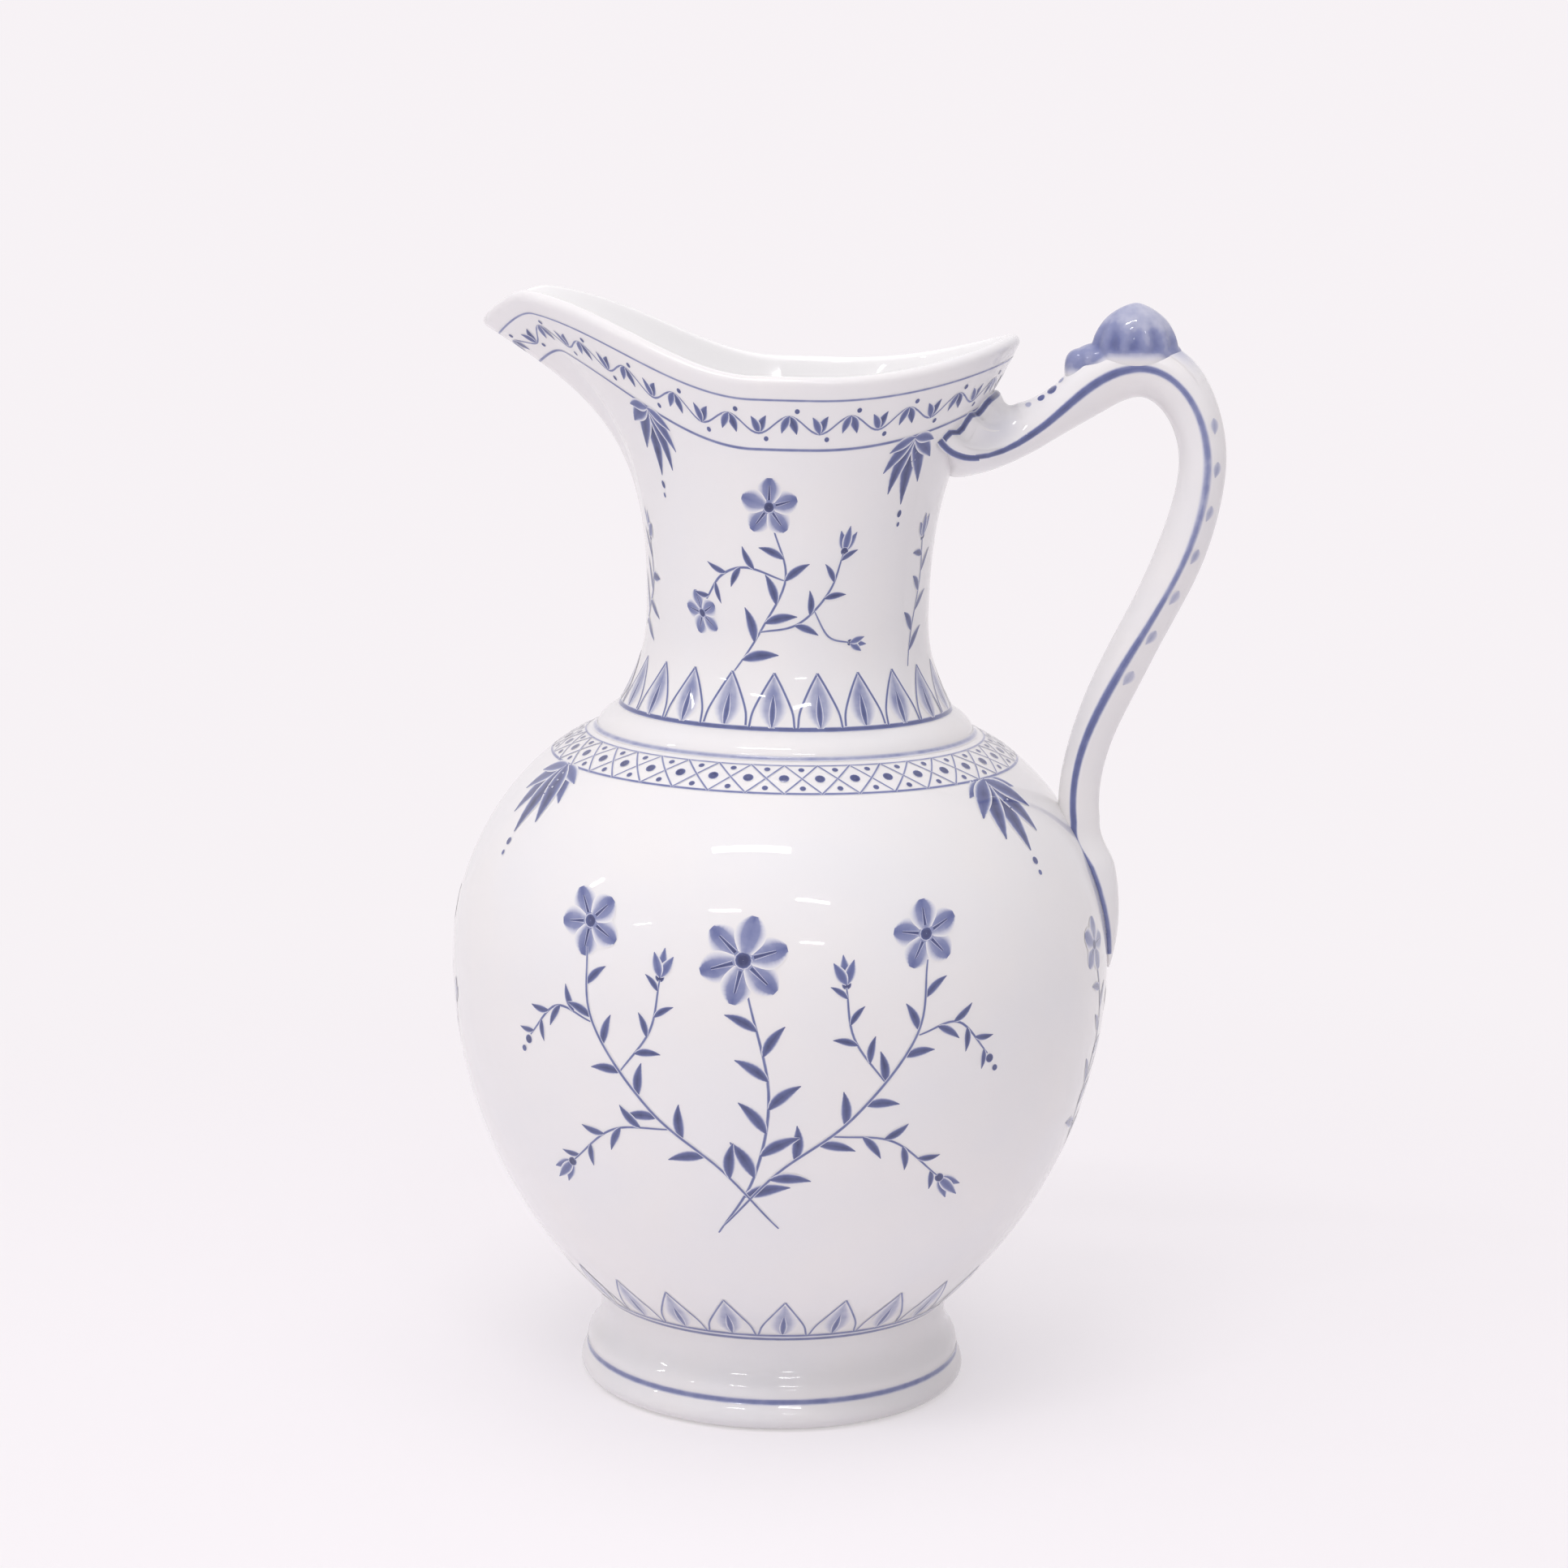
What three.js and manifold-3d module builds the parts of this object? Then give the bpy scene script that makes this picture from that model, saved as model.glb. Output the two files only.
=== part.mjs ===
// A baluster-shaped porcelain water jug in millimetres, +Z up, standing on its foot.
// The spout points along -X and the handle along +X, so the plane Y = 0 halves the jug.
// The clay parts are thrown or moulded one by one and luted together with slip before firing.

import * as THREE from "three";
import { mergeVertices } from "three/addons/utils/BufferGeometryUtils.js";
import Module from "manifold-3d";

// Fineness of the round forms
const FACETS = 48;
const CURVE_STEPS = 8;
const FLARE_STEPS = 10;
const SPOUT_FINENESS = 0.4;
const SOLVE_STEPS = 40;

// Film of slip between two luted parts
const SLIP = 0.2;

// Whole jug, up to the lip of the spout
const JUG_HEIGHT = 250;

// Foot ring
const FOOT_HEIGHT = 20.3;
const FOOT_RADIUS = 44.6;
const FOOT_BEAD = 6.6;
const FOOT_BORE = 30;
const TREAD_WIDTH = 5;
const TREAD_INSET = 1.8;
const BEAD_SWELL = 0.6;
const BEAD_FULLNESS = 0.88;
const BEAD_TUCK = 1.7;
const FOOT_HOLLOW = 0.22;
const FOOT_UNDERCUT = 2;

// Belly
const BELLY_HEIGHT = 132.5;
const BELLY_RADIUS = 75.3;
const BELLY_BASE_RADIUS = 40.6;
const BELLY_WIDEST = 80.5;
const BELLY_WALL = 3.5;
const BELLY_LOWER_SWELL = 35;
const BELLY_UPPER_SWELL = 26;
const BELLY_BASE_SLOPE = new THREE.Vector2(20, 19);
const SHOULDER_SLOPE = new THREE.Vector2(14.5, -5);
const FLOOR_THICKNESS = 5;
const SPIGOT_DEPTH = 8;

// Collar moulding round the root of the neck
const COLLAR_WIDTH = 4.9;
const COLLAR_HEIGHT = 4.8;
const COLLAR_EDGE = 0.6;
const COLLAR_FULLNESS = 0.8;

// Neck, rim and spout
const NECK_BASE_RADIUS = 38.1;
const NECK_WALL = 3.2;
const WAIST_RADIUS = 32;
const WAIST_HEIGHT = 27;
const RIM_HALF_WIDTH = 36.8;
const SPOUT_REACH = 69.2;
const SPOUT_RISE = 15.4;
const SPOUT_START = 6;
const SPOUT_CURL = 7;
const SPOUT_TIP_DROP = 6.4;
const SPOUT_TIP_HALF_WIDTH = 14;
const REAR_REACH = 50.4;
const REAR_RISE = 8;
const REAR_START = 8;
const UPRIGHT_LIP_ANGLE = 78;
const SPOUT_LIP_ANGLE = 31;
const UPRIGHT_LIP_PULL = 0.2;
const SPOUT_LIP_PULL = 0.48;
const RIM_FRONT_FULLNESS = 0.32;
const RIM_REAR_FULLNESS = 0.53;
const FLARE_UPRIGHT = 0.6;
const NECK_ROOT_SLOPE = new THREE.Vector2(-3.7, 7.5);
const NECK_ROOT_UPRIGHT = 10;
const LIP_STEPS = 4;

// Handle
const ROOT_TOP_BELOW_RIM = 3.8;
const ROOT_BOTTOM_BELOW_RIM = 22;
const ROOT_HALF_WIDTH = 10;
const ROOT_FLARE = 18;
const ROOT_DIP = 3;
const ROOT_EASE = 0.44;
const ARCH_RISE = 15.8;
const ARCH_BEYOND_REAR = 26.6;
const ARCH_FRONT_EASE = 0.37;
const ARCH_BACK_EASE = 0.56;
const HANDLE_BEYOND_REAR = 41.7;
const HANDLE_SHOULDER_DROP = 21.3;
const SHOULDER_UPPER_EASE = 0.52;
const SHOULDER_LOWER_EASE = 0.31;
const HANDLE_END_BELOW_SHOULDER = 19;
const HANDLE_END_EASE = 0.31;
const HANDLE_END_TUCK = 3;
const HANDLE_STANDOFF = 2.4;
const HANDLE_SQUARE_END = 2;
const HANDLE_ROOT_THICKNESS = 11.2;
const HANDLE_END_THICKNESS = 9.4;
const HANDLE_ROOT_HALF_WIDTH = 5.8;
const HANDLE_END_HALF_WIDTH = 5.2;
const ROOT_OUTER_SHARE = 0.68;
const ARCH_OUTER_SHARE = 0.39;
const END_OUTER_SHARE = 0.6;
const RIDGE_HIGH_START = 0.24;
const RIDGE_HIGH_END = 0.45;
const RIDGE_LOW_START = 0.66;
const RIDGE_SHARPNESS = 1.3;
const HANDLE_STEPS = 56;
const HANDLE_SIDES = 16;

// Moulded leaf that spreads the upper root over the neck
const LEAF_THICKNESS = 1.4;
const LEAF_HALF_ANGLE = 29;
const LEAF_LOBES = 3;
const LEAF_LOBE_DEPTH = 0.12;
const LEAF_END_WIDTH = 0.03;
const LEAF_SAG = 0.75;

// Moulded tongue that carries the lower end down the belly
const TONGUE_LENGTH = 34.5;
const TONGUE_HALF_WIDTH = 6.2;
const TONGUE_TIP_THICKNESS = 1;
const TONGUE_TIP_SHARE = 0.03;

// Thumb rest: a fluted dome with a small nub in front of it
const DOME_SEAT = 4.4;
const DOME_LENGTH = 19.8;
const DOME_WIDTH = 15.8;
const DOME_HEIGHT = 10.6;
const DOME_SHARPNESS = 2;
const DOME_ROUNDNESS = 0.65;
const DOME_TIP = 0.06;
const DOME_UNDERCUT = 3;
const DOME_FOOT_SHARE = 0.6;
const DOME_FLUTES = 12;
const DOME_SIDES = 4 * DOME_FLUTES;
const FLUTE_DEPTH = 0.55;
const FLUTE_FADE_START = 0.4;
const FLUTE_FADE_END = 0.85;
const NUB_BEFORE_DOME = 12.2;
const NUB_LENGTH = 6;
const NUB_WIDTH = 8;
const NUB_HEIGHT = 7.2;
const NUB_FACETS = 12;
const SADDLE_RISE = 2.2;

// Heights that follow from the parts below
const BELLY_BASE_Z = FOOT_HEIGHT + SLIP;
const SHOULDER_Z = BELLY_BASE_Z + BELLY_HEIGHT;
const NECK_BASE_Z = SHOULDER_Z + SLIP;
const NECK_LEDGE_Z = NECK_BASE_Z + COLLAR_HEIGHT;
const WAIST_Z = SHOULDER_Z + WAIST_HEIGHT;
const RIM_Z = JUG_HEIGHT - SPOUT_RISE - NECK_WALL / 2;

const manifold = await Module();
manifold.setup();

const { lerp, smoothstep, degToRad } = THREE.MathUtils;
const point = (x, y) => new THREE.Vector2(x, y);

function cubic(...controls) {
  return new THREE.CubicBezierCurve(...controls);
}

// Moves a profile sideways by a distance, to the left of its direction of travel.
function offsetProfile(points, distance) {
  return points.map((here, i) => {
    const before = points[Math.max(i - 1, 0)];
    const after = points[Math.min(i + 1, points.length - 1)];
    const along = after.clone().sub(before).normalize();
    return point(here.x - along.y * distance, here.y + along.x * distance);
  });
}

// The value at which a rising function passes a target.
function solveRising(rising, target, low, high) {
  for (let i = 0; i < SOLVE_STEPS; i++) {
    const middle = (low + high) / 2;
    if (rising(middle) < target) low = middle;
    else high = middle;
  }
  return (low + high) / 2;
}

// Turns a profile of radius and height about the Z axis.
function turn(profile) {
  return new THREE.LatheGeometry(profile, FACETS).rotateX(Math.PI / 2);
}

// A closed skin over rings of points: end rings meet each other or are capped.
function loft(rings, ringsMeet = false) {
  const sides = rings[0].length;
  const positions = rings.flat().flatMap((p) => [p.x, p.y, p.z]);
  const index = [];
  const spans = ringsMeet ? rings.length : rings.length - 1;
  for (let i = 0; i < spans; i++) {
    const next = (i + 1) % rings.length;
    for (let j = 0; j < sides; j++) {
      const k = (j + 1) % sides;
      const [a, b] = [i * sides + j, i * sides + k];
      const [c, d] = [next * sides + k, next * sides + j];
      index.push(a, b, c, a, c, d);
    }
  }
  if (!ringsMeet) {
    const capped = [rings[0], rings[rings.length - 1]];
    capped.forEach((ring, end) => {
      const centre = positions.length / 3;
      const middle = ring.reduce((sum, p) => sum.add(p), new THREE.Vector3());
      positions.push(...middle.divideScalar(sides).toArray());
      const first = end ? (rings.length - 1) * sides : 0;
      for (let j = 0; j < sides; j++) {
        const [a, b] = [first + j, first + ((j + 1) % sides)];
        index.push(centre, ...(end ? [a, b] : [b, a]));
      }
    });
  }
  const geometry = new THREE.BufferGeometry();
  geometry.setAttribute("position", new THREE.Float32BufferAttribute(positions, 3));
  return geometry.setIndex(index);
}

// A closed pad whose every cross row runs over the crown and back along the base.
function pad(across, along, surface) {
  const rings = [];
  for (let i = 0; i <= along; i++) {
    const row = [];
    for (let j = 0; j < across; j++) row.push(surface(-1 + (2 * j) / across, i / along, 1));
    for (let j = 0; j < across; j++) row.push(surface(1 - (2 * j) / across, i / along, 0));
    rings.push(row);
  }
  return loft(rings);
}

function solidOf(geometry) {
  const bare = geometry.clone();
  bare.deleteAttribute("normal");
  bare.deleteAttribute("uv");
  const merged = mergeVertices(bare, 1e-4);
  return new manifold.Manifold(
    new manifold.Mesh({
      numProp: 3,
      vertProperties: merged.attributes.position.array,
      triVerts: new Uint32Array(merged.index.array),
    }),
  );
}

function geometryOf(solid) {
  const mesh = solid.getMesh();
  const geometry = new THREE.BufferGeometry();
  geometry.setAttribute("position", new THREE.BufferAttribute(mesh.vertProperties, 3));
  return geometry.setIndex(new THREE.BufferAttribute(mesh.triVerts, 1));
}

// Foot ring: a flat tread, a rounded bead and a hollow sweep up to the belly.
function footRing() {
  const treadOuter = FOOT_RADIUS - TREAD_INSET;
  const treadInner = treadOuter - TREAD_WIDTH;
  const section = new THREE.Path();
  section.moveTo(treadInner, 0);
  section.lineTo(treadOuter, 0);
  section.bezierCurveTo(
    FOOT_RADIUS + BEAD_SWELL,
    FOOT_BEAD * (1 - BEAD_FULLNESS),
    FOOT_RADIUS + BEAD_SWELL,
    FOOT_BEAD * BEAD_FULLNESS,
    FOOT_RADIUS - BEAD_TUCK,
    FOOT_BEAD,
  );
  section.quadraticCurveTo(
    BELLY_BASE_RADIUS,
    lerp(FOOT_BEAD, FOOT_HEIGHT, FOOT_HOLLOW),
    BELLY_BASE_RADIUS - SLIP,
    FOOT_HEIGHT,
  );
  section.lineTo(FOOT_BORE, FOOT_HEIGHT);
  section.lineTo(FOOT_BORE, FOOT_HEIGHT - SPIGOT_DEPTH);
  section.quadraticCurveTo(treadInner - FOOT_UNDERCUT, FOOT_BEAD, treadInner, 0);
  return turn(section.getPoints(CURVE_STEPS / 2));
}

// Outer outline of the belly from its base up to the shoulder.
const bellyLower = cubic(
  point(BELLY_BASE_RADIUS, BELLY_BASE_Z),
  point(BELLY_BASE_RADIUS + BELLY_BASE_SLOPE.x, BELLY_BASE_Z + BELLY_BASE_SLOPE.y),
  point(BELLY_RADIUS, BELLY_BASE_Z + BELLY_WIDEST - BELLY_LOWER_SWELL),
  point(BELLY_RADIUS, BELLY_BASE_Z + BELLY_WIDEST),
);
const shoulderRadius = NECK_BASE_RADIUS + COLLAR_WIDTH;
const bellyUpper = cubic(
  point(BELLY_RADIUS, BELLY_BASE_Z + BELLY_WIDEST),
  point(BELLY_RADIUS, BELLY_BASE_Z + BELLY_WIDEST + BELLY_UPPER_SWELL),
  point(shoulderRadius + SHOULDER_SLOPE.x, SHOULDER_Z + SHOULDER_SLOPE.y),
  point(shoulderRadius, SHOULDER_Z),
);
function bellyOutline(steps) {
  return [...bellyLower.getPoints(steps), ...bellyUpper.getPoints(steps).slice(1)];
}

// Outer radius of the belly at a height on its upper half.
function bellyRadiusAt(height) {
  const share = solveRising((t) => bellyUpper.getPoint(t).y, height, 0, 1);
  return bellyUpper.getPoint(share).x;
}

// Belly: a walled bowl whose floor plugs the bore of the foot ring.
function belly() {
  const plugRadius = FOOT_BORE - SLIP;
  const plugZ = BELLY_BASE_Z - SPIGOT_DEPTH;
  const mouth = NECK_BASE_RADIUS - NECK_WALL;
  const wall = offsetProfile(bellyOutline(CURVE_STEPS), BELLY_WALL);
  const inside = wall.filter((p) => p.y < SHOULDER_Z - BELLY_WALL);
  const heel = inside[0];
  const floor = new THREE.QuadraticBezierCurve(
    heel,
    point(heel.x - (heel.y - plugZ - FLOOR_THICKNESS), plugZ + FLOOR_THICKNESS),
    point(0, plugZ + FLOOR_THICKNESS),
  );
  return turn([
    point(0, plugZ),
    point(plugRadius, plugZ),
    point(plugRadius, BELLY_BASE_Z),
    ...bellyOutline(CURVE_STEPS),
    point(mouth, SHOULDER_Z),
    point(mouth, SHOULDER_Z - BELLY_WALL),
    ...inside.reverse(),
    ...floor.getPoints(CURVE_STEPS / 2).slice(1),
  ]);
}

// Collar: a soft swelling slope that covers the joint of belly and neck.
function collarRing() {
  const bore = NECK_BASE_RADIUS + SLIP;
  const width = COLLAR_WIDTH - SLIP;
  const section = new THREE.Path();
  section.moveTo(bore, NECK_BASE_Z);
  section.lineTo(bore + width - COLLAR_EDGE, NECK_BASE_Z);
  section.quadraticCurveTo(bore + width, NECK_BASE_Z, bore + width, NECK_BASE_Z + COLLAR_EDGE);
  section.quadraticCurveTo(
    bore + width * COLLAR_FULLNESS,
    NECK_BASE_Z + COLLAR_HEIGHT * COLLAR_FULLNESS,
    bore,
    NECK_LEDGE_Z,
  );
  section.lineTo(bore, NECK_BASE_Z);
  return turn(section.getPoints(CURVE_STEPS / 2));
}

// Plan of the rim: a rounded rear half and a front half drawn out into the spout.
const rimFront = cubic(
  point(0, RIM_HALF_WIDTH),
  point(-RIM_FRONT_FULLNESS * SPOUT_REACH, RIM_HALF_WIDTH),
  point(-SPOUT_REACH, SPOUT_TIP_HALF_WIDTH),
  point(-SPOUT_REACH, 0),
);
const rimRear = cubic(
  point(0, RIM_HALF_WIDTH),
  point(RIM_REAR_FULLNESS * REAR_REACH, RIM_HALF_WIDTH),
  point(REAR_REACH, RIM_HALF_WIDTH / 2),
  point(REAR_REACH, 0),
);

// Outer edge of the rim in one direction: its radius and its height.
function rimEdge(angle) {
  const turned = Math.acos(Math.cos(angle));
  const half = turned > Math.PI / 2 ? rimFront : rimRear;
  const swing = (t) => Math.abs(half.getPoint(t).angle() - Math.PI / 2);
  const plan = half.getPoint(solveRising(swing, Math.abs(turned - Math.PI / 2), 0, 1));
  const climb = smoothstep(-plan.x, SPOUT_START, SPOUT_REACH - SPOUT_CURL) * SPOUT_RISE;
  const rear = Math.max(plan.x - REAR_START, 0) / (REAR_REACH - REAR_START);
  const tip = plan.x < 0 ? Math.max(1 - (plan.y / SPOUT_TIP_HALF_WIDTH) ** 2, 0) : 0;
  const height = RIM_Z + climb + REAR_RISE * rear ** 2 - SPOUT_TIP_DROP * tip ** 2;
  return point(plan.length(), height);
}

// Outline of the neck in one direction, from its waist out to the rim.
function neckFlare(angle) {
  const edge = rimEdge(angle);
  const overhang = (edge.x - WAIST_RADIUS) / (SPOUT_REACH - WAIST_RADIUS);
  const lean = degToRad(lerp(UPRIGHT_LIP_ANGLE, SPOUT_LIP_ANGLE, overhang ** 2));
  const pull = lerp(UPRIGHT_LIP_PULL, SPOUT_LIP_PULL, overhang) * (edge.y - WAIST_Z);
  return cubic(
    point(WAIST_RADIUS, WAIST_Z),
    point(WAIST_RADIUS, lerp(WAIST_Z, edge.y, FLARE_UPRIGHT)),
    point(edge.x - pull * Math.cos(lean), edge.y - pull * Math.sin(lean)),
    edge,
  );
}

// Hollow sweep of the neck from the collar up to the waist.
const neckRoot = cubic(
  point(NECK_BASE_RADIUS, NECK_LEDGE_Z),
  point(NECK_BASE_RADIUS + NECK_ROOT_SLOPE.x, NECK_LEDGE_Z + NECK_ROOT_SLOPE.y),
  point(WAIST_RADIUS, WAIST_Z - NECK_ROOT_UPRIGHT),
  point(WAIST_RADIUS, WAIST_Z),
);

// Places a point of a flat outline in the upright plane that faces one direction.
function swung(flat, angle) {
  return new THREE.Vector3(flat.x * Math.cos(angle), flat.x * Math.sin(angle), flat.y);
}

// Directions round the axis, closer together towards the tip of the spout.
function directions() {
  return Array.from({ length: FACETS }, (_, i) => {
    const even = (i / FACETS) * 2 * Math.PI;
    return even + SPOUT_FINENESS * Math.sin(even);
  });
}

// Neck: a wall that opens from the waist into the rim and the spout, with a rounded lip.
function neckSpout() {
  const sections = directions().map((angle) => {
    const upper = neckFlare(angle).getPoints(FLARE_STEPS);
    const outside = [
      point(NECK_BASE_RADIUS, NECK_BASE_Z),
      ...neckRoot.getPoints(CURVE_STEPS / 2),
      ...upper.slice(1),
    ];
    const inside = offsetProfile(outside, NECK_WALL);
    inside[0].set(NECK_BASE_RADIUS - NECK_WALL, NECK_BASE_Z);
    const edge = outside[outside.length - 1];
    const inner = inside[inside.length - 1];
    const lip = edge.clone().add(inner).divideScalar(2);
    const across = edge.clone().sub(lip);
    const ahead = point(-across.y, across.x);
    const round = [];
    for (let i = 1; i < LIP_STEPS; i++) {
      const around = (i / LIP_STEPS) * Math.PI;
      const sideways = across.clone().multiplyScalar(Math.cos(around));
      round.push(lip.clone().add(sideways).addScaledVector(ahead, Math.sin(around)));
    }
    return [...outside, ...round, ...inside.reverse()].map((p) => swung(p, angle));
  });
  const rings = sections[0].map((_, i) => sections.map((section) => section[i]));
  return loft(rings, true);
}

// A point on the outside of the neck, lifted off the surface by a distance.
function neckSkin(angle, height, lift) {
  const flare = neckFlare(angle);
  const share = solveRising((t) => flare.getPoint(t).y, height, 0, 1);
  const along = flare.getTangent(share);
  const here = flare.getPoint(share);
  return swung(point(here.x + along.y * lift, here.y - along.x * lift), angle);
}

// The space that the neck and its leaf fill, as a solid to trim the handle against.
function neckCore(lift) {
  const sections = [];
  for (let i = 0; i < 2 * FACETS; i++) {
    const angle = (i / FACETS) * Math.PI;
    const outline = neckFlare(angle).getPoints(FLARE_STEPS);
    sections.push(offsetProfile(outline, -lift).map((p) => swung(p, angle)));
  }
  return loft(sections[0].map((_, i) => sections.map((section) => section[i])));
}

// The space that the belly fills, as a solid to trim the handle against.
function bellyCore(lift) {
  const outline = offsetProfile(bellyOutline(CURVE_STEPS), -lift);
  const [base, top] = [outline[0], outline[outline.length - 1]];
  return turn([point(0, base.y), ...outline, point(0, top.y)]);
}

// Centre line of the handle in the plane Y = 0, from the neck over the arch to the belly.
const rootTop = RIM_Z - ROOT_TOP_BELOW_RIM;
const rootBottom = RIM_Z - ROOT_BOTTOM_BELOW_RIM;
const handleRoot = neckSkin(0, (rootTop + rootBottom) / 2, 0);
const archTop = point(REAR_REACH + ARCH_BEYOND_REAR, handleRoot.z + ARCH_RISE);
const handleShoulder = point(REAR_REACH + HANDLE_BEYOND_REAR, archTop.y - HANDLE_SHOULDER_DROP);
const endHeight = SHOULDER_Z - HANDLE_END_BELOW_SHOULDER;
const handleEnd = point(bellyRadiusAt(endHeight) + HANDLE_STANDOFF, endHeight);
const handleLine = new THREE.CurvePath();
handleLine.add(
  cubic(
    point(handleRoot.x, handleRoot.z),
    point(lerp(handleRoot.x, archTop.x, ROOT_EASE), handleRoot.z - ROOT_DIP),
    point(lerp(archTop.x, handleRoot.x, ARCH_FRONT_EASE), archTop.y),
    archTop,
  ),
);
handleLine.add(
  cubic(
    archTop,
    point(lerp(archTop.x, handleShoulder.x, ARCH_BACK_EASE), archTop.y),
    point(handleShoulder.x, lerp(handleShoulder.y, archTop.y, SHOULDER_UPPER_EASE)),
    handleShoulder,
  ),
);
handleLine.add(
  cubic(
    handleShoulder,
    point(handleShoulder.x, lerp(handleShoulder.y, handleEnd.y, SHOULDER_LOWER_EASE)),
    point(handleEnd.x - HANDLE_END_TUCK, lerp(handleEnd.y, handleShoulder.y, HANDLE_END_EASE)),
    point(handleEnd.x, handleEnd.y + HANDLE_SQUARE_END),
  ),
);
handleLine.add(new THREE.LineCurve(point(handleEnd.x, handleEnd.y + HANDLE_SQUARE_END), handleEnd));

// Share of the handle's thickness outside its side ridges: they lie low at the neck, rise
// towards the back over the arch and sink again on the way down to the belly.
function outerShare(share) {
  const rising = smoothstep(share, 0, RIDGE_HIGH_START);
  const sinking = smoothstep(share, RIDGE_HIGH_END, RIDGE_LOW_START);
  return lerp(lerp(ROOT_OUTER_SHARE, ARCH_OUTER_SHARE, rising), END_OUTER_SHARE, sinking);
}

// Handle: an almond section with a soft ridge down each side, swept along the centre line.
function handleSweep(lift) {
  const length = handleLine.getLength();
  const rings = [];
  for (let i = 0; i <= HANDLE_STEPS; i++) {
    const share = i / HANDLE_STEPS;
    const here = handleLine.getPointAt(share);
    const along = handleLine.getTangentAt(share);
    const flare = Math.max(1 - (share * length) / ROOT_FLARE, 0) ** 2;
    const slim = lerp(HANDLE_ROOT_THICKNESS, HANDLE_END_THICKNESS, share);
    const thickness = lerp(slim, rootTop - rootBottom, flare) + 2 * lift;
    const slimHalf = lerp(HANDLE_ROOT_HALF_WIDTH, HANDLE_END_HALF_WIDTH, share);
    const halfWidth = lerp(slimHalf, ROOT_HALF_WIDTH, flare) + lift;
    const outer = outerShare(share);
    const ring = [];
    for (let j = 0; j < HANDLE_SIDES; j++) {
      const around = (j / HANDLE_SIDES) * 2 * Math.PI;
      const turned = Math.sin(around);
      const outward = Math.sign(turned) * Math.abs(turned) ** RIDGE_SHARPNESS;
      const depth = turned > 0 ? outer : 1 - outer;
      const rise = thickness * (0.5 - outer + depth * outward);
      const side = halfWidth * Math.cos(around);
      ring.push(new THREE.Vector3(here.x - along.y * rise, side, here.y + along.x * rise));
    }
    rings.push(ring);
  }
  return loft(rings);
}

function handle() {
  const neckSide = solidOf(neckCore(LEAF_THICKNESS + 2 * SLIP));
  const bellySide = solidOf(bellyCore(SLIP));
  return geometryOf(solidOf(handleSweep(0)).subtract(neckSide).subtract(bellySide));
}

// Leaf of the upper root: a thin lobed pad that follows the neck.
function handleUpperLeaf() {
  return pad(4 * LEAF_LOBES, 4 * LEAF_LOBES, (across, along, crown) => {
    const lobes = 1 - LEAF_LOBE_DEPTH * Math.abs(Math.sin(LEAF_LOBES * Math.PI * along));
    const turned = lerp(LEAF_END_WIDTH, 1 - LEAF_END_WIDTH, along ** LEAF_SAG) * Math.PI;
    const angle = across * Math.sqrt(Math.sin(turned)) * lobes * degToRad(LEAF_HALF_ANGLE);
    const height = lerp(rootBottom, rootTop, along);
    const bulge = Math.sqrt(1 - across ** 2);
    return neckSkin(angle, height, SLIP + crown * LEAF_THICKNESS * bulge);
  });
}

// Tongue of the lower end: a tapering pad that thins out down the belly.
function handleLowerLeaf() {
  const top = endHeight - SLIP;
  const topThickness = HANDLE_STANDOFF + HANDLE_END_THICKNESS / 2;
  return pad(CURVE_STEPS, CURVE_STEPS, (across, up, crown) => {
    const down = 1 - up;
    const height = top - down * TONGUE_LENGTH;
    const width = lerp(HANDLE_END_HALF_WIDTH, TONGUE_HALF_WIDTH, Math.sin(Math.PI * down));
    const taper = Math.sqrt(lerp(1, TONGUE_TIP_SHARE, down ** 4));
    const side = across * width * taper;
    const base = Math.sqrt((bellyRadiusAt(height) + SLIP) ** 2 - side ** 2);
    const bulge = Math.sqrt(1 - across ** 2);
    const thickness = lerp(topThickness, TONGUE_TIP_THICKNESS, down) * bulge;
    return new THREE.Vector3(base + crown * thickness, side, height);
  });
}

// One level of the dome, where a rise of 0 is its brim and 1 its top.
function domeRing(rise, level, share = 1) {
  const spread = share * Math.max((1 - rise ** DOME_SHARPNESS) ** DOME_ROUNDNESS, DOME_TIP);
  const groove = FLUTE_DEPTH * (1 - smoothstep(rise, FLUTE_FADE_START, FLUTE_FADE_END));
  const ring = [];
  for (let i = 0; i < DOME_SIDES; i++) {
    const angle = (i / DOME_SIDES) * 2 * Math.PI;
    const flute = groove * Math.cos((DOME_FLUTES * angle) / 2) ** 2;
    const x = archTop.x + (DOME_LENGTH / 2 - flute) * spread * Math.cos(angle);
    const y = (DOME_WIDTH / 2 - flute) * spread * Math.sin(angle);
    ring.push(new THREE.Vector3(x, y, level));
  }
  return ring;
}

// A small rounded lump in front of the dome.
function lump(length, before, top) {
  return new THREE.SphereGeometry(0.5, NUB_FACETS, NUB_FACETS)
    .scale(length, NUB_WIDTH, NUB_HEIGHT)
    .translate(archTop.x - before, 0, top - NUB_HEIGHT / 2);
}

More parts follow.
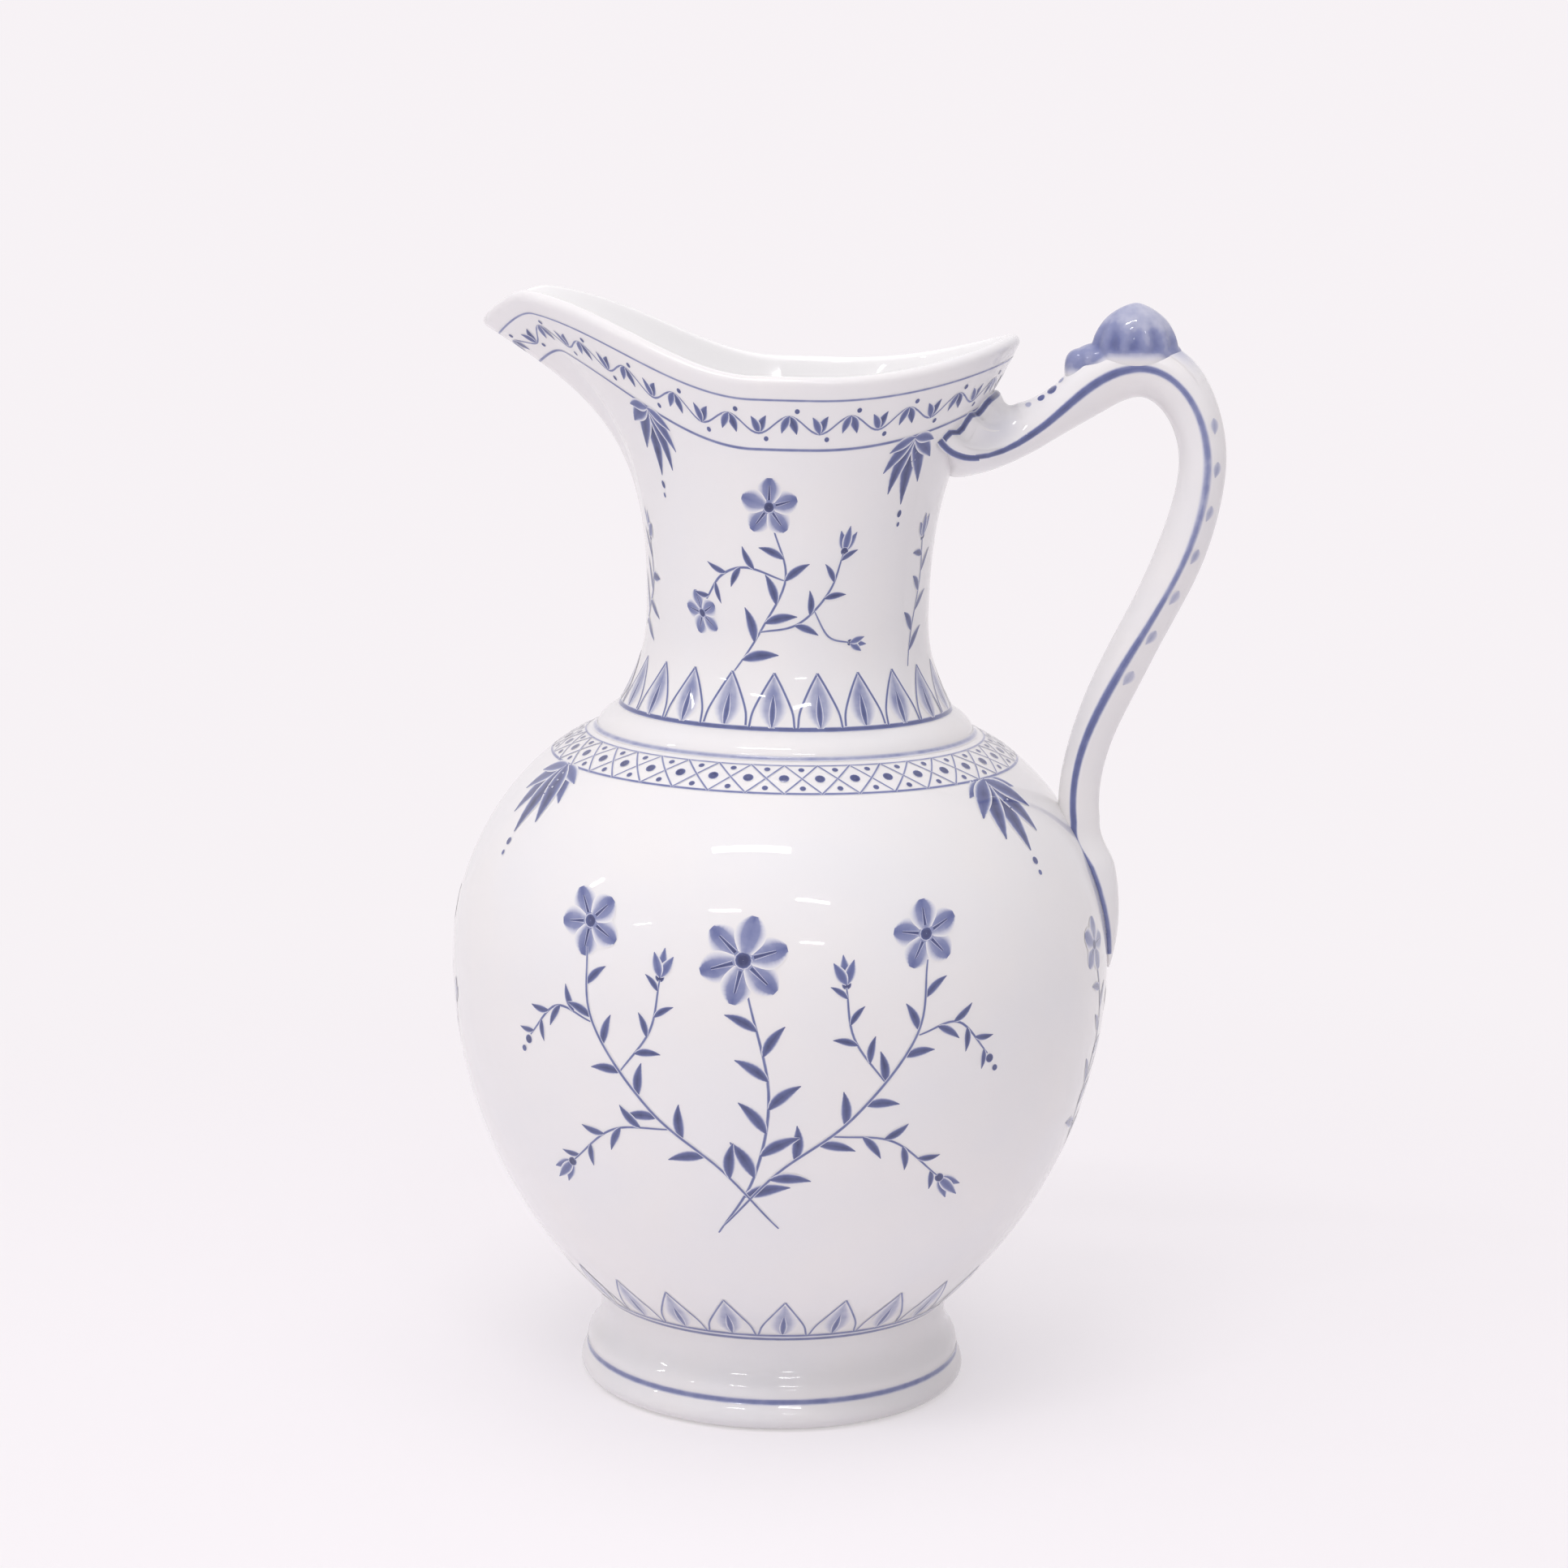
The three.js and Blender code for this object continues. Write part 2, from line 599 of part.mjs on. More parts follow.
// Thumb rest: a dome with flutes round its lower half and an undercut brim, a nub and the
// saddle between them.
function thumbRest() {
  const brim = archTop.y + DOME_SEAT;
  const rings = [domeRing(0, brim - DOME_UNDERCUT, DOME_FOOT_SHARE)];
  for (let i = 0; i <= CURVE_STEPS; i++) {
    const rise = Math.sin((i / CURVE_STEPS) * (Math.PI / 2));
    rings.push(domeRing(rise, brim + rise * DOME_HEIGHT));
  }
  const nub = lump(NUB_LENGTH, NUB_BEFORE_DOME, brim);
  const saddle = lump(NUB_BEFORE_DOME, NUB_BEFORE_DOME / 2, brim + SADDLE_RISE);
  const boss = solidOf(loft(rings)).add(solidOf(nub)).add(solidOf(saddle));
  return geometryOf(boss.subtract(solidOf(handleSweep(SLIP))));
}

const GLAZED_WHITE = 0xf3f3f4;
const BISCUIT_WHITE = 0xe9e5df;
const BLUE_WASH = 0x8b9bcb;
const GLAZE_ROUGHNESS = 0.12;

function part(name, geometry, colour) {
  const glaze = new THREE.MeshStandardMaterial({ color: colour, roughness: GLAZE_ROUGHNESS });
  const mesh = new THREE.Mesh(geometry, glaze);
  mesh.name = name;
  return mesh;
}

const jug = new THREE.Group();
jug.name = "porcelain_jug";
jug.add(part("foot_ring", footRing(), BISCUIT_WHITE));
jug.add(part("belly", belly(), GLAZED_WHITE));
jug.add(part("collar_ring", collarRing(), GLAZED_WHITE));
jug.add(part("neck_spout", neckSpout(), GLAZED_WHITE));
jug.add(part("handle", handle(), GLAZED_WHITE));
jug.add(part("handle_upper_leaf", handleUpperLeaf(), GLAZED_WHITE));
jug.add(part("handle_lower_leaf", handleLowerLeaf(), GLAZED_WHITE));
jug.add(part("thumb_rest", thumbRest(), BLUE_WASH));

// The origin lies on the ground under the middle of the whole outline.
const outline = new THREE.Box3().setFromObject(jug);
jug.position.x = -(outline.min.x + outline.max.x) / 2;

export default jug;
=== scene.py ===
"""A glazed porcelain water jug with blue brush painting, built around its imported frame."""

import math

import bpy
import numpy as np
from bpy.props import FloatProperty, FloatVectorProperty, IntProperty, PointerProperty
from mathutils import Matrix, Vector


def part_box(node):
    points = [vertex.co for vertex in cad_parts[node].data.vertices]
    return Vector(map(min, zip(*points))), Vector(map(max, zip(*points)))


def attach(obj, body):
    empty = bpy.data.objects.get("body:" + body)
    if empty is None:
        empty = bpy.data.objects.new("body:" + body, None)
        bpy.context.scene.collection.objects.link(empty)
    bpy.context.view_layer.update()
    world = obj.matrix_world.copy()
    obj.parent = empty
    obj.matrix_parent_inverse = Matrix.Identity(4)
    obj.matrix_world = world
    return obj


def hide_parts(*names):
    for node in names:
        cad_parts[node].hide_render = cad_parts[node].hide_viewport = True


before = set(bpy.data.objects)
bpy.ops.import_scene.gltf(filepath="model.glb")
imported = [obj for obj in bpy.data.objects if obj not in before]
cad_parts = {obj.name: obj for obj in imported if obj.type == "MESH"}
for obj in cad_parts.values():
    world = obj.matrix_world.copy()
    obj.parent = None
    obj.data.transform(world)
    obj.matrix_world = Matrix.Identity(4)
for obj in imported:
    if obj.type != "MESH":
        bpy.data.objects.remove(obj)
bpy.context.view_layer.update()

bl_info = {
    "name": "Porcelain jug",
    "version": (1, 0, 0),
    "blender": (4, 5, 0),
    "location": "View3D > Sidebar > Jug",
    "description": "Models a painted porcelain jug around its solid frame",
    "category": "Object",
}

MM = 0.001
BODY = "root"
AXIS_X = (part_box("belly")[0].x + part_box("belly")[1].x) / 2
SHOULDER_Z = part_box("belly")[1].z
FOOT_TOP_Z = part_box("foot_ring")[1].z


def mm(*points):
    """Points or steps given in millimetres, in metres."""
    return np.array(points, float) * MM


def length(name, words, default):
    """A size in metres that a user may change."""
    return FloatProperty(name=name, description=words, default=default, min=0.0, precision=5, unit="LENGTH")


def colour(name, words, default):
    """A colour that a user may change, in linear light."""
    return FloatVectorProperty(
        name=name, description=words, default=default, min=0.0, max=1.0, size=3, subtype="COLOR"
    )


class JugSizes(bpy.types.PropertyGroup):
    """Sizes of the clay parts."""

    foot_radius: length("Foot radius", "Outer radius of the bead at the foot", 0.0446)
    foot_bead: length("Foot bead", "Height of the rounded bead at the foot", 0.0066)
    foot_bore: length("Foot bore", "Radius of the bore that the belly's floor plugs", 0.030)
    tread_width: length("Tread width", "Width of the flat ring that the jug stands on", 0.005)
    belly_radius: length("Belly radius", "Largest radius of the belly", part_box("belly")[1].y)
    belly_base: length("Belly base radius", "Radius of the belly where it meets the foot", 0.0406)
    belly_widest: length("Belly widest height", "Height of the widest place over the ground", 0.101)
    belly_wall: length("Belly wall", "Thickness of the belly's wall", 0.0035)
    shoulder_radius: length("Shoulder radius", "Radius at the top of the belly", 0.043)
    neck_base: length("Neck base radius", "Radius of the neck where it leaves the collar", 0.0381)
    collar_height: length("Collar height", "Height of the moulding under the neck", 0.0048)
    neck_wall: length("Neck wall", "Thickness of the neck's wall and of its lip", 0.0032)
    waist_radius: length("Waist radius", "Smallest radius of the neck", 0.032)
    waist_z: length("Waist height", "Height of the smallest radius over the ground", 0.180)
    rim_z: length("Rim height", "Height of the rim at the sides, over the ground", 0.233)
    rim_half_width: length("Rim half width", "Half of the mouth's width across", 0.0368)
    spout_reach: length("Spout reach", "Distance of the spout's tip from the axis", 0.0692)
    spout_rise: length("Spout rise", "Climb of the rim towards the spout", 0.0154)
    spout_tip: length("Spout tip half width", "Half width of the dip at the spout's tip", 0.014)
    spout_dip: length("Spout dip", "Depth of the dip at the spout's tip", 0.0064)
    rear_reach: length("Rear reach", "Distance of the rim's rear tip from the axis", 0.0504)
    rear_rise: length("Rear rise", "Climb of the rim towards the handle", 0.008)
    handle_half_width: length("Handle half width", "Half width of the handle at its arch", 0.0058)
    dome_length: length("Dome length", "Length of the thumb rest's dome", 0.0198)
    dome_width: length("Dome width", "Width of the thumb rest's dome", 0.0136)
    dome_height: length("Dome height", "Height of the dome over its brim", 0.0106)
    dome_seat: length("Dome seat", "Height of the brim over the handle's middle line", 0.0044)
    segments: IntProperty(name="Segments", description="Faces round the turned parts", default=240, min=48)


class JugLooks(bpy.types.PropertyGroup):
    """Colours of the glaze, the painting and the stage."""

    glaze: colour("Glaze", "White of the glazed porcelain", (0.845, 0.84, 0.85))
    glaze_warm: colour("Warm glaze", "White where the glaze lies thin", (0.865, 0.85, 0.845))
    biscuit: colour("Biscuit", "Bare fired clay of the tread", (0.62, 0.55, 0.47))
    blue_pale: colour("Pale blue", "Thinnest wash of the painting", (0.40, 0.43, 0.62))
    blue_mid: colour("Middle blue", "Ordinary brush line", (0.125, 0.15, 0.34))
    blue_deep: colour("Deep blue", "Pooled brush stroke", (0.030, 0.036, 0.125))
    ground: colour("Ground", "Matt white of the floor", (0.94, 0.91, 0.94))
    backdrop: colour("Backdrop", "Even white behind the jug", (0.93, 0.89, 0.915))


SIZES = None
LOOKS = None


# Curves and profiles

def bezier(controls, steps):
    """Points of a quadratic or cubic curve."""
    points = np.array(controls, float)
    t = np.linspace(0.0, 1.0, steps + 1)[:, None]
    if len(points) == 3:
        return (1 - t) ** 2 * points[0] + 2 * (1 - t) * t * points[1] + t**2 * points[2]
    return (
        (1 - t) ** 3 * points[0]
        + 3 * (1 - t) ** 2 * t * points[1]
        + 3 * (1 - t) * t**2 * points[2]
        + t**3 * points[3]
    )


def chain(*runs):
    """Joins runs of points whose ends meet."""
    points = [runs[0]]
    for run in runs[1:]:
        points.append(run[1:] if np.allclose(run[0], points[-1][-1], atol=1e-7) else run)
    return np.vstack(points)


def run_lengths(points):
    """Distance along a line of points, from its first one."""
    steps = np.linalg.norm(np.diff(points, axis=0), axis=1)
    return np.concatenate([[0.0], np.cumsum(steps)])


def even(points, step):
    """The same line with points about one step apart."""
    reach = run_lengths(points)
    count = max(int(round(reach[-1] / step)), 1)
    at = np.linspace(0.0, reach[-1], count + 1)
    return np.column_stack([np.interp(at, reach, points[:, k]) for k in range(points.shape[1])])


def left_normals(points):
    """Unit normals on the left of a flat line's direction."""
    ahead = np.gradient(points, axis=0)
    ahead /= np.linalg.norm(ahead, axis=1)[:, None]
    return np.column_stack([-ahead[:, 1], ahead[:, 0]])


def smoothstep(x, low, high):
    """Smooth change from 0 at low to 1 at high."""
    t = np.clip((x - low) / (high - low), 0.0, 1.0)
    return t * t * (3 - 2 * t)


def blend_between(a, b, share):
    """Straight mix of two values."""
    return a + (b - a) * share


def eased(at, stations):
    """Values on a smooth line through pairs of a place and a value."""
    places, values = np.array(stations, float).T
    slopes = np.gradient(values, places)
    i = np.clip(np.searchsorted(places, at, side="right") - 1, 0, len(places) - 2)
    span = places[i + 1] - places[i]
    t = (at - places[i]) / span
    return (
        (2 * t**3 - 3 * t**2 + 1) * values[i]
        + (t**3 - 2 * t**2 + t) * span * slopes[i]
        + (3 * t**2 - 2 * t**3) * values[i + 1]
        + (t**3 - t**2) * span * slopes[i + 1]
    )


def foot_outline():
    """Outside of the foot ring, from its tread over the bead and the roll up to the belly."""
    s = SIZES
    full = np.array([s.foot_radius + 0.15 * MM, 0.0])
    groove = np.array([s.foot_radius - 1.4 * MM, s.foot_bead])
    waist = np.array([s.belly_base - 0.2 * MM, 18.5 * MM])
    low = bezier(full + mm((-3.5, 0), (-1.9, 0.05), (0, 1.1), (0, 2.8)), 12)
    bead = bezier([low[-1], full + mm(0, 4.2), groove + mm(0.95, -1.45), groove], 14)
    roll = bezier([groove, groove + mm(1.0, 5.0), waist - mm(0.8, 7.9), waist], 34)
    return chain(low, bead, roll, np.array([waist, (waist[0], FOOT_TOP_Z)]))


def belly_outline():
    """Outside of the belly, from the foot up to the shoulder."""
    s = SIZES
    base = np.array([s.belly_base, FOOT_TOP_Z])
    widest = np.array([s.belly_radius, s.belly_widest])
    shoulder = np.array([s.shoulder_radius, SHOULDER_Z])
    lower = bezier([base, base + mm(20, 19), widest - mm(0, 35), widest], 120)
    upper = bezier([widest, widest + mm(0, 26), shoulder + mm(14.5, -5), shoulder], 120)
    return chain(lower, upper)


def belly_radius_at(height):
    """Outer radius of the belly at a height."""
    outline = belly_outline()
    return np.interp(height, outline[:, 1], outline[:, 0])


def neck_ledge():
    """Height at which the neck leaves its collar."""
    return SHOULDER_Z + SIZES.collar_height + 0.2 * MM


def rim_edge(angles):
    """Radius and height of the rim's outer edge in each direction round the axis."""
    s = SIZES
    wide, spout, rear = s.rim_half_width, s.spout_reach, s.rear_reach
    ahead = bezier([(0, wide), (-0.32 * spout, wide), (-spout, s.spout_tip), (-spout, 0)], 600)
    behind = bezier([(0, wide), (0.53 * rear, wide), (rear, wide / 2), (rear, 0)], 600)
    plan = np.vstack([behind[::-1], ahead[1:]])
    bearing = np.arctan2(plan[:, 1], plan[:, 0])
    turned = np.abs((np.asarray(angles) + math.pi) % (2 * math.pi) - math.pi)
    x = np.interp(turned, bearing, plan[:, 0])
    y = np.interp(turned, bearing, plan[:, 1])
    climb = smoothstep(-x, 6 * MM, spout - 7 * MM) * s.spout_rise
    back = np.clip(x - 8 * MM, 0, None) / (rear - 8 * MM)
    dip = np.where(x < 0, np.clip(1 - (y / s.spout_tip) ** 2, 0, None), 0.0)
    return np.hypot(x, y), s.rim_z + climb + s.rear_rise * back**2 - s.spout_dip * dip**2


def neck_outlines(angles, root_steps, flare_steps):
    """Outside of the neck in each direction, from the collar up to the rim's edge."""
    s = SIZES
    radius, height = rim_edge(angles)
    overhang = (radius - s.waist_radius) / (s.spout_reach - s.waist_radius)
    lean = np.radians(blend_between(78.0, 31.0, overhang**2))
    pull = blend_between(0.2, 0.48, overhang) * (height - s.waist_z)
    ledge = np.array([s.neck_base, neck_ledge()])
    waist = np.array([s.waist_radius, s.waist_z])
    root = bezier([ledge, ledge + mm(-3.7, 7.5), waist - mm(0, 10), waist], root_steps)
    outlines = []
    for r, z, a, p in zip(radius, height, lean, pull):
        upright = (s.waist_radius, blend_between(s.waist_z, z, 0.6))
        drawn_in = (r - p * math.cos(a), z - p * math.sin(a))
        outlines.append(chain(root, bezier([waist, upright, drawn_in, (r, z)], flare_steps)))
    return np.array(outlines)


def on_axis(flat, angles):
    """Turns points of radius and height to their directions round the jug's axis."""
    r, z = flat[..., 0], flat[..., 1]
    return np.stack([AXIS_X + r * np.cos(angles), r * np.sin(angles), np.broadcast_to(z, r.shape)], axis=-1)


# Work in Blender

def only(piece):
    """Selects one object and nothing else."""
    bpy.ops.object.select_all(action="DESELECT")
    piece.select_set(True)
    bpy.context.view_layer.objects.active = piece


def named(name):
    """Names the object that an operator has just added."""
    piece = bpy.context.view_layer.objects.active
    piece.name = name
    piece.data.name = name
    return piece


def places_of(piece):
    """Places of a mesh's points."""
    co = np.zeros(len(piece.data.vertices) * 3)
    piece.data.vertices.foreach_get("co", co)
    return co.reshape(-1, 3)


def set_places(piece, places):
    """Moves the points of a mesh to given places."""
    piece.data.vertices.foreach_set("co", np.asarray(places, np.float32).ravel())
    piece.data.update()


def spun(name, section, segments):
    """Extrudes a flat section point by point and spins it round the jug's axis."""
    bpy.ops.object.select_all(action="DESELECT")
    bpy.ops.mesh.primitive_plane_add(size=1 * MM, location=(0, 0, 0))
    piece = named(name)
    bpy.ops.object.mode_set(mode="EDIT")
    bpy.ops.mesh.select_mode(type="VERT")
    bpy.ops.mesh.select_all(action="SELECT")
    bpy.ops.mesh.merge(type="CENTER")
    start = Vector((AXIS_X + section[0][0], 0, section[0][1]))
    bpy.ops.transform.translate(value=start)
    for here, there in zip(section[:-1], section[1:]):
        step = (there[0] - here[0], 0, there[1] - here[1])
        bpy.ops.mesh.extrude_vertices_move(TRANSFORM_OT_translate={"value": step})
    bpy.ops.mesh.select_all(action="SELECT")
    bpy.ops.mesh.spin(steps=segments, angle=2 * math.pi, center=(AXIS_X, 0, 0), axis=(0, 0, 1))
    bpy.ops.mesh.select_all(action="SELECT")
    bpy.ops.mesh.remove_doubles(threshold=0.004 * MM)
    bpy.ops.mesh.normals_make_consistent(inside=False)
    bpy.ops.object.mode_set(mode="OBJECT")
    return piece


def extruded(name, rings, closed):
    """Extrudes a circle from ring to ring; closed joins its ends, which are filled otherwise."""
    count, sides = rings.shape[:2]
    bpy.ops.object.select_all(action="DESELECT")
    bpy.ops.mesh.primitive_circle_add(vertices=sides, radius=1 * MM, fill_type="NOTHING")
    piece = named(name)
    bpy.ops.object.mode_set(mode="EDIT")
    bpy.ops.mesh.select_all(action="SELECT")
    for _ in range(count - 1):
        bpy.ops.mesh.extrude_edges_move(TRANSFORM_OT_translate={"value": (0, 0, 1 * MM)})
    bpy.ops.object.mode_set(mode="OBJECT")
    set_places(piece, ordered_rings(piece, rings))
    bpy.ops.object.mode_set(mode="EDIT")
    bpy.ops.mesh.select_all(action="DESELECT")
    bpy.ops.mesh.select_non_manifold(extend=False)
    if closed:
        bpy.ops.mesh.bridge_edge_loops()
    else:
        bpy.ops.mesh.fill_holes(sides=0)
    bpy.ops.mesh.select_all(action="SELECT")
    bpy.ops.mesh.normals_make_consistent(inside=False)
    bpy.ops.object.mode_set(mode="OBJECT")
    return piece


def ordered_rings(piece, rings):
    """Ring places in the order of the extruded circle's points: by level, then by angle."""
    sides = rings.shape[1]
    co = places_of(piece)
    level = np.rint(co[:, 2] / MM).astype(int)
    turn = np.rint(np.arctan2(co[:, 1], co[:, 0]) / (2 * math.pi) * sides).astype(int) % sides
    return rings[level, turn]


def finish_piece(piece, node, material, sharp_angle=50.0):
    """Smooths a piece, gives it its glaze and ties it to the frame."""
    only(piece)
    bpy.ops.object.shade_smooth_by_angle(angle=math.radians(sharp_angle))
    piece.data.materials.clear()
    piece.data.materials.append(material)
    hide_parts(node)
    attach(piece, BODY)


# Finishes

def add_node(tree, kind, values=None, **settings):
    """Adds a node whose inputs take fixed values or the sockets of other nodes."""
    node = tree.nodes.new("ShaderNode" + kind)
    for key, value in settings.items():
        setattr(node, key, value)
    for key, value in (values or {}).items():
        if isinstance(value, bpy.types.NodeSocket):
            tree.links.new(value, node.inputs[key])
        else:
            node.inputs[key].default_value = value
    return node


def worked(tree, operation, first, second):
    """The result of one sum on two values."""
    return add_node(tree, "Math", {0: first, 1: second}, operation=operation).outputs["Value"]


def ranged(tree, value, low, high, to_low=0.0, to_high=1.0, **settings):
    """A value brought from one range into another."""
    ends = {"From Min": low, "From Max": high, "To Min": to_low, "To Max": to_high}
    return add_node(tree, "MapRange", {"Value": value, **ends}, **settings).outputs["Result"]


def noise(tree, scale, detail):
    """A noise in the object's own coordinates."""
    place = add_node(tree, "TexCoord").outputs["Object"]
    return add_node(tree, "TexNoise", {"Vector": place, "Scale": scale, "Detail": detail}).outputs["Fac"]


def mixed(tree, share, first, second):
    """Mixes two colours, each a socket or a fixed colour."""
    colours = [c if isinstance(c, bpy.types.NodeSocket) else (*c, 1.0) for c in (first, second)]
    return add_node(tree, "Mix", {0: share, 6: colours[0], 7: colours[1]}, data_type="RGBA").outputs[2]


def bumped(tree, height, strength, distance):
    """A normal that follows a height."""
    values = {"Height": height, "Strength": strength, "Distance": distance}
    return add_node(tree, "Bump", values).outputs["Normal"]


def new_finish(name):
    """A material with one surface shader and nothing else."""
    material = bpy.data.materials.new(name)
    material.use_nodes = True
    tree = material.node_tree
    tree.nodes.clear()
    shader = add_node(tree, "BsdfPrincipled")
    add_node(tree, "OutputMaterial", {"Surface": shader.outputs["BSDF"]})
    return material, tree, shader


def glazed(tree, shader, shade):
    """A colour under the clear glaze: glassy, with a faint ripple."""
    tree.links.new(shade, shader.inputs["Base Color"])
    shader.inputs["Roughness"].default_value = 0.45
    shader.inputs["Specular IOR Level"].default_value = 0.25
    shader.inputs["Coat Weight"].default_value = 1.0
    shader.inputs["Coat Roughness"].default_value = 0.035
    shader.inputs["Coat IOR"].default_value = 1.5
    ripple = bumped(tree, noise(tree, 95.0, 1.0), 0.1, 0.6 * MM)
    tree.links.new(ripple, shader.inputs["Coat Normal"])


def white_of_glaze(tree):
    """White that drifts a little between its cool and its warm shade."""
    drift = ranged(tree, noise(tree, 38.0, 3.0), 0.35, 0.65)
    return mixed(tree, drift, LOOKS.glaze, LOOKS.glaze_warm)


def white_glaze():
    """Glazed white porcelain."""
    material = bpy.data.materials.get("white_glaze")
    if not material:
        material, tree, shader = new_finish("white_glaze")
        glazed(tree, shader, white_of_glaze(tree))
    return material


def painted_light_inner_glaze():
    """The white glaze mixed whiter for inside the neck: painted light for the bright inside of the mouth.
    """
    material, tree, shader = new_finish("painted_light_inner_glaze")
    whiter = [[blend_between(part, 1.0, 0.75) for part in c] for c in (LOOKS.glaze, LOOKS.glaze_warm)]
    glazed(tree, shader, mixed(tree, noise(tree, 38.0, 3.0), *whiter))
    return material


def biscuit_and_contact_shadow():
    """Unglazed clay of the tread, with a fine grain and a little grime; where it wraps the bead's lower
    edge it is also a painted contact shadow.
    """
    material, tree, shader = new_finish("biscuit_and_contact_shadow")
    grime = [part * 0.8 for part in LOOKS.biscuit]
    stain = mixed(tree, noise(tree, 420.0, 4.0), LOOKS.biscuit, grime)
    tree.links.new(stain, shader.inputs["Base Color"])
    shader.inputs["Roughness"].default_value = 0.85
    grit = bumped(tree, noise(tree, 1800.0, 3.0), 0.3, 0.2 * MM)
    tree.links.new(grit, shader.inputs["Normal"])
    return material


def blue_painting():
    """Blue under the glaze: the stroke's own depth gives its shade, and the wash is uneven."""
    material = bpy.data.materials.get("blue_painting")
    if material:
        return material
    material, tree, shader = new_finish("blue_painting")
    depth = add_node(tree, "Attribute", attribute_name="depth").outputs["Fac"]
    wash = ranged(tree, noise(tree, 340.0, 2.0), 0.3, 0.7, 0.87, 1.1)
    uneven = worked(tree, "MULTIPLY", depth, wash)
    ramp = add_node(tree, "ValToRGB", {"Fac": uneven})
    stops = ramp.color_ramp.elements
    stops.new(0.52)
    shades = ((0.12, LOOKS.blue_pale), (0.52, LOOKS.blue_mid), (1.0, LOOKS.blue_deep))
    for stop, (place, shade) in zip(stops, shades):
        stop.position, stop.color = place, (*shade, 1.0)
    cover = ranged(tree, uneven, 0.0, 0.36)
    glazed(tree, shader, mixed(tree, cover, white_of_glaze(tree), ramp.outputs["Color"]))
    return material


# Surfaces that the brush paints on: each gives places and normals for two coordinates

class Turned:
    """Surface of a turned part, by direction round the axis and distance along its outline."""

    def __init__(self, outline):
        self.outline = outline
        self.reach = run_lengths(outline)
        self.normals = -left_normals(outline)

    def radius(self, along):
        return np.interp(along, self.reach, self.outline[:, 0])

    def at(self, angles, along):
        r = self.radius(along)
        z = np.interp(along, self.reach, self.outline[:, 1])
        nr = np.interp(along, self.reach, self.normals[:, 0])
        nz = np.interp(along, self.reach, self.normals[:, 1])
        places = np.stack([AXIS_X + r * np.cos(angles), r * np.sin(angles), z], axis=-1)
        normals = np.stack([nr * np.cos(angles), nr * np.sin(angles), nz], axis=-1)
        return places, normals / np.linalg.norm(normals, axis=-1, keepdims=True)


class Grid:
    """Surface given by a table of places whose last column joins its first."""

    def __init__(self, table, rows, columns):
        self.table, self.rows, self.columns = table, rows, columns
        down = np.gradient(table, axis=0)
        across = (np.roll(table, -1, axis=1) - np.roll(table, 1, axis=1)) / 2
        facing = np.cross(across, down)
        out = table - table.mean(axis=1, keepdims=True)
        facing *= np.sign(np.sum(out * facing))
        self.facing = facing / np.maximum(np.linalg.norm(facing, axis=-1, keepdims=True), 1e-12)

    def sample(self, table, row, column):
        i = np.clip(np.interp(row, self.rows, np.arange(len(self.rows))), 0, len(self.rows) - 1.001)
        n = len(self.columns)
        span = self.columns[1] - self.columns[0]
        j = ((np.asarray(column) - self.columns[0]) / span) % n
        i0, j0 = np.floor(i).astype(int), np.floor(j).astype(int)
        a, b = (i - i0)[..., None], (j - j0)[..., None]
        j1 = (j0 + 1) % n
        j0 = j0 % n
        return (
            table[i0, j0] * (1 - a) * (1 - b)
            + table[i0 + 1, j0] * a * (1 - b)
            + table[i0, j1] * (1 - a) * b
            + table[i0 + 1, j1] * a * b
        )

    def at(self, column, row):
        places = self.sample(self.table, row, column)
        normals = self.sample(self.facing, row, column)
        return places, normals / np.linalg.norm(normals, axis=-1, keepdims=True)


class Patch:
    """A flat drawing board laid on a surface: x to the right, y up, in millimetres."""

    def __init__(self, surface, angle, along, upward, radius, mirror=1.0):
        self.surface, self.angle, self.along = surface, angle, along
        self.upward, self.radius, self.mirror = upward, radius, mirror

    def at(self, x, y):
        along = self.along + self.upward * y * MM
        return self.surface.at(self.angle + self.mirror * x * MM / self.radius(along), along)


class Hem:
    """A board along the neck's rim: x round its edge, y up from a level below it, in millimetres."""

    def __init__(self, neck, down):
        edge = neck.table[0]
        self.neck, self.down = neck, down
        self.around = run_lengths(np.vstack([edge, edge[:1]])) / MM
        self.turns = np.append(neck.columns, neck.columns[0] + 2 * math.pi)

    def at(self, x, y):
        turn = np.interp(np.mod(x, self.around[-1]), self.around, self.turns)
        return self.neck.at(turn, (self.down - y) * MM)


class Flank:
    """A board beside the handle's back: x from it towards one ridge, y along it, in millimetres."""

    def __init__(self, surface, row, side):
        ring = surface.table[int(np.searchsorted(surface.rows, row))]
        girth = run_lengths(np.vstack([ring, ring[:1]]))[-1]
        self.surface, self.row, self.turn = surface, row, side * MM / girth

    def at(self, x, y):
        return self.surface.at(0.25 + x * self.turn, self.row + y * MM)


class Ribbon:
    """A narrow board along a path in space, turned one way: x across it, y along it, in metres."""

    def __init__(self, path, face):
        self.path, self.face, self.reach = path, face, run_lengths(path)
        across = np.cross(np.gradient(path, axis=0), face)
        self.across = across / np.linalg.norm(across, axis=1)[:, None]

    def follow(self, points, y):
        return np.stack([np.interp(y, self.reach, points[:, k]) for k in range(3)], axis=-1)

    def at(self, x, y):
        places = self.follow(self.path, y) + self.follow(self.across, y) * x[..., None]
        return places + self.face * 0.15 * MM, np.broadcast_to(self.face, places.shape)


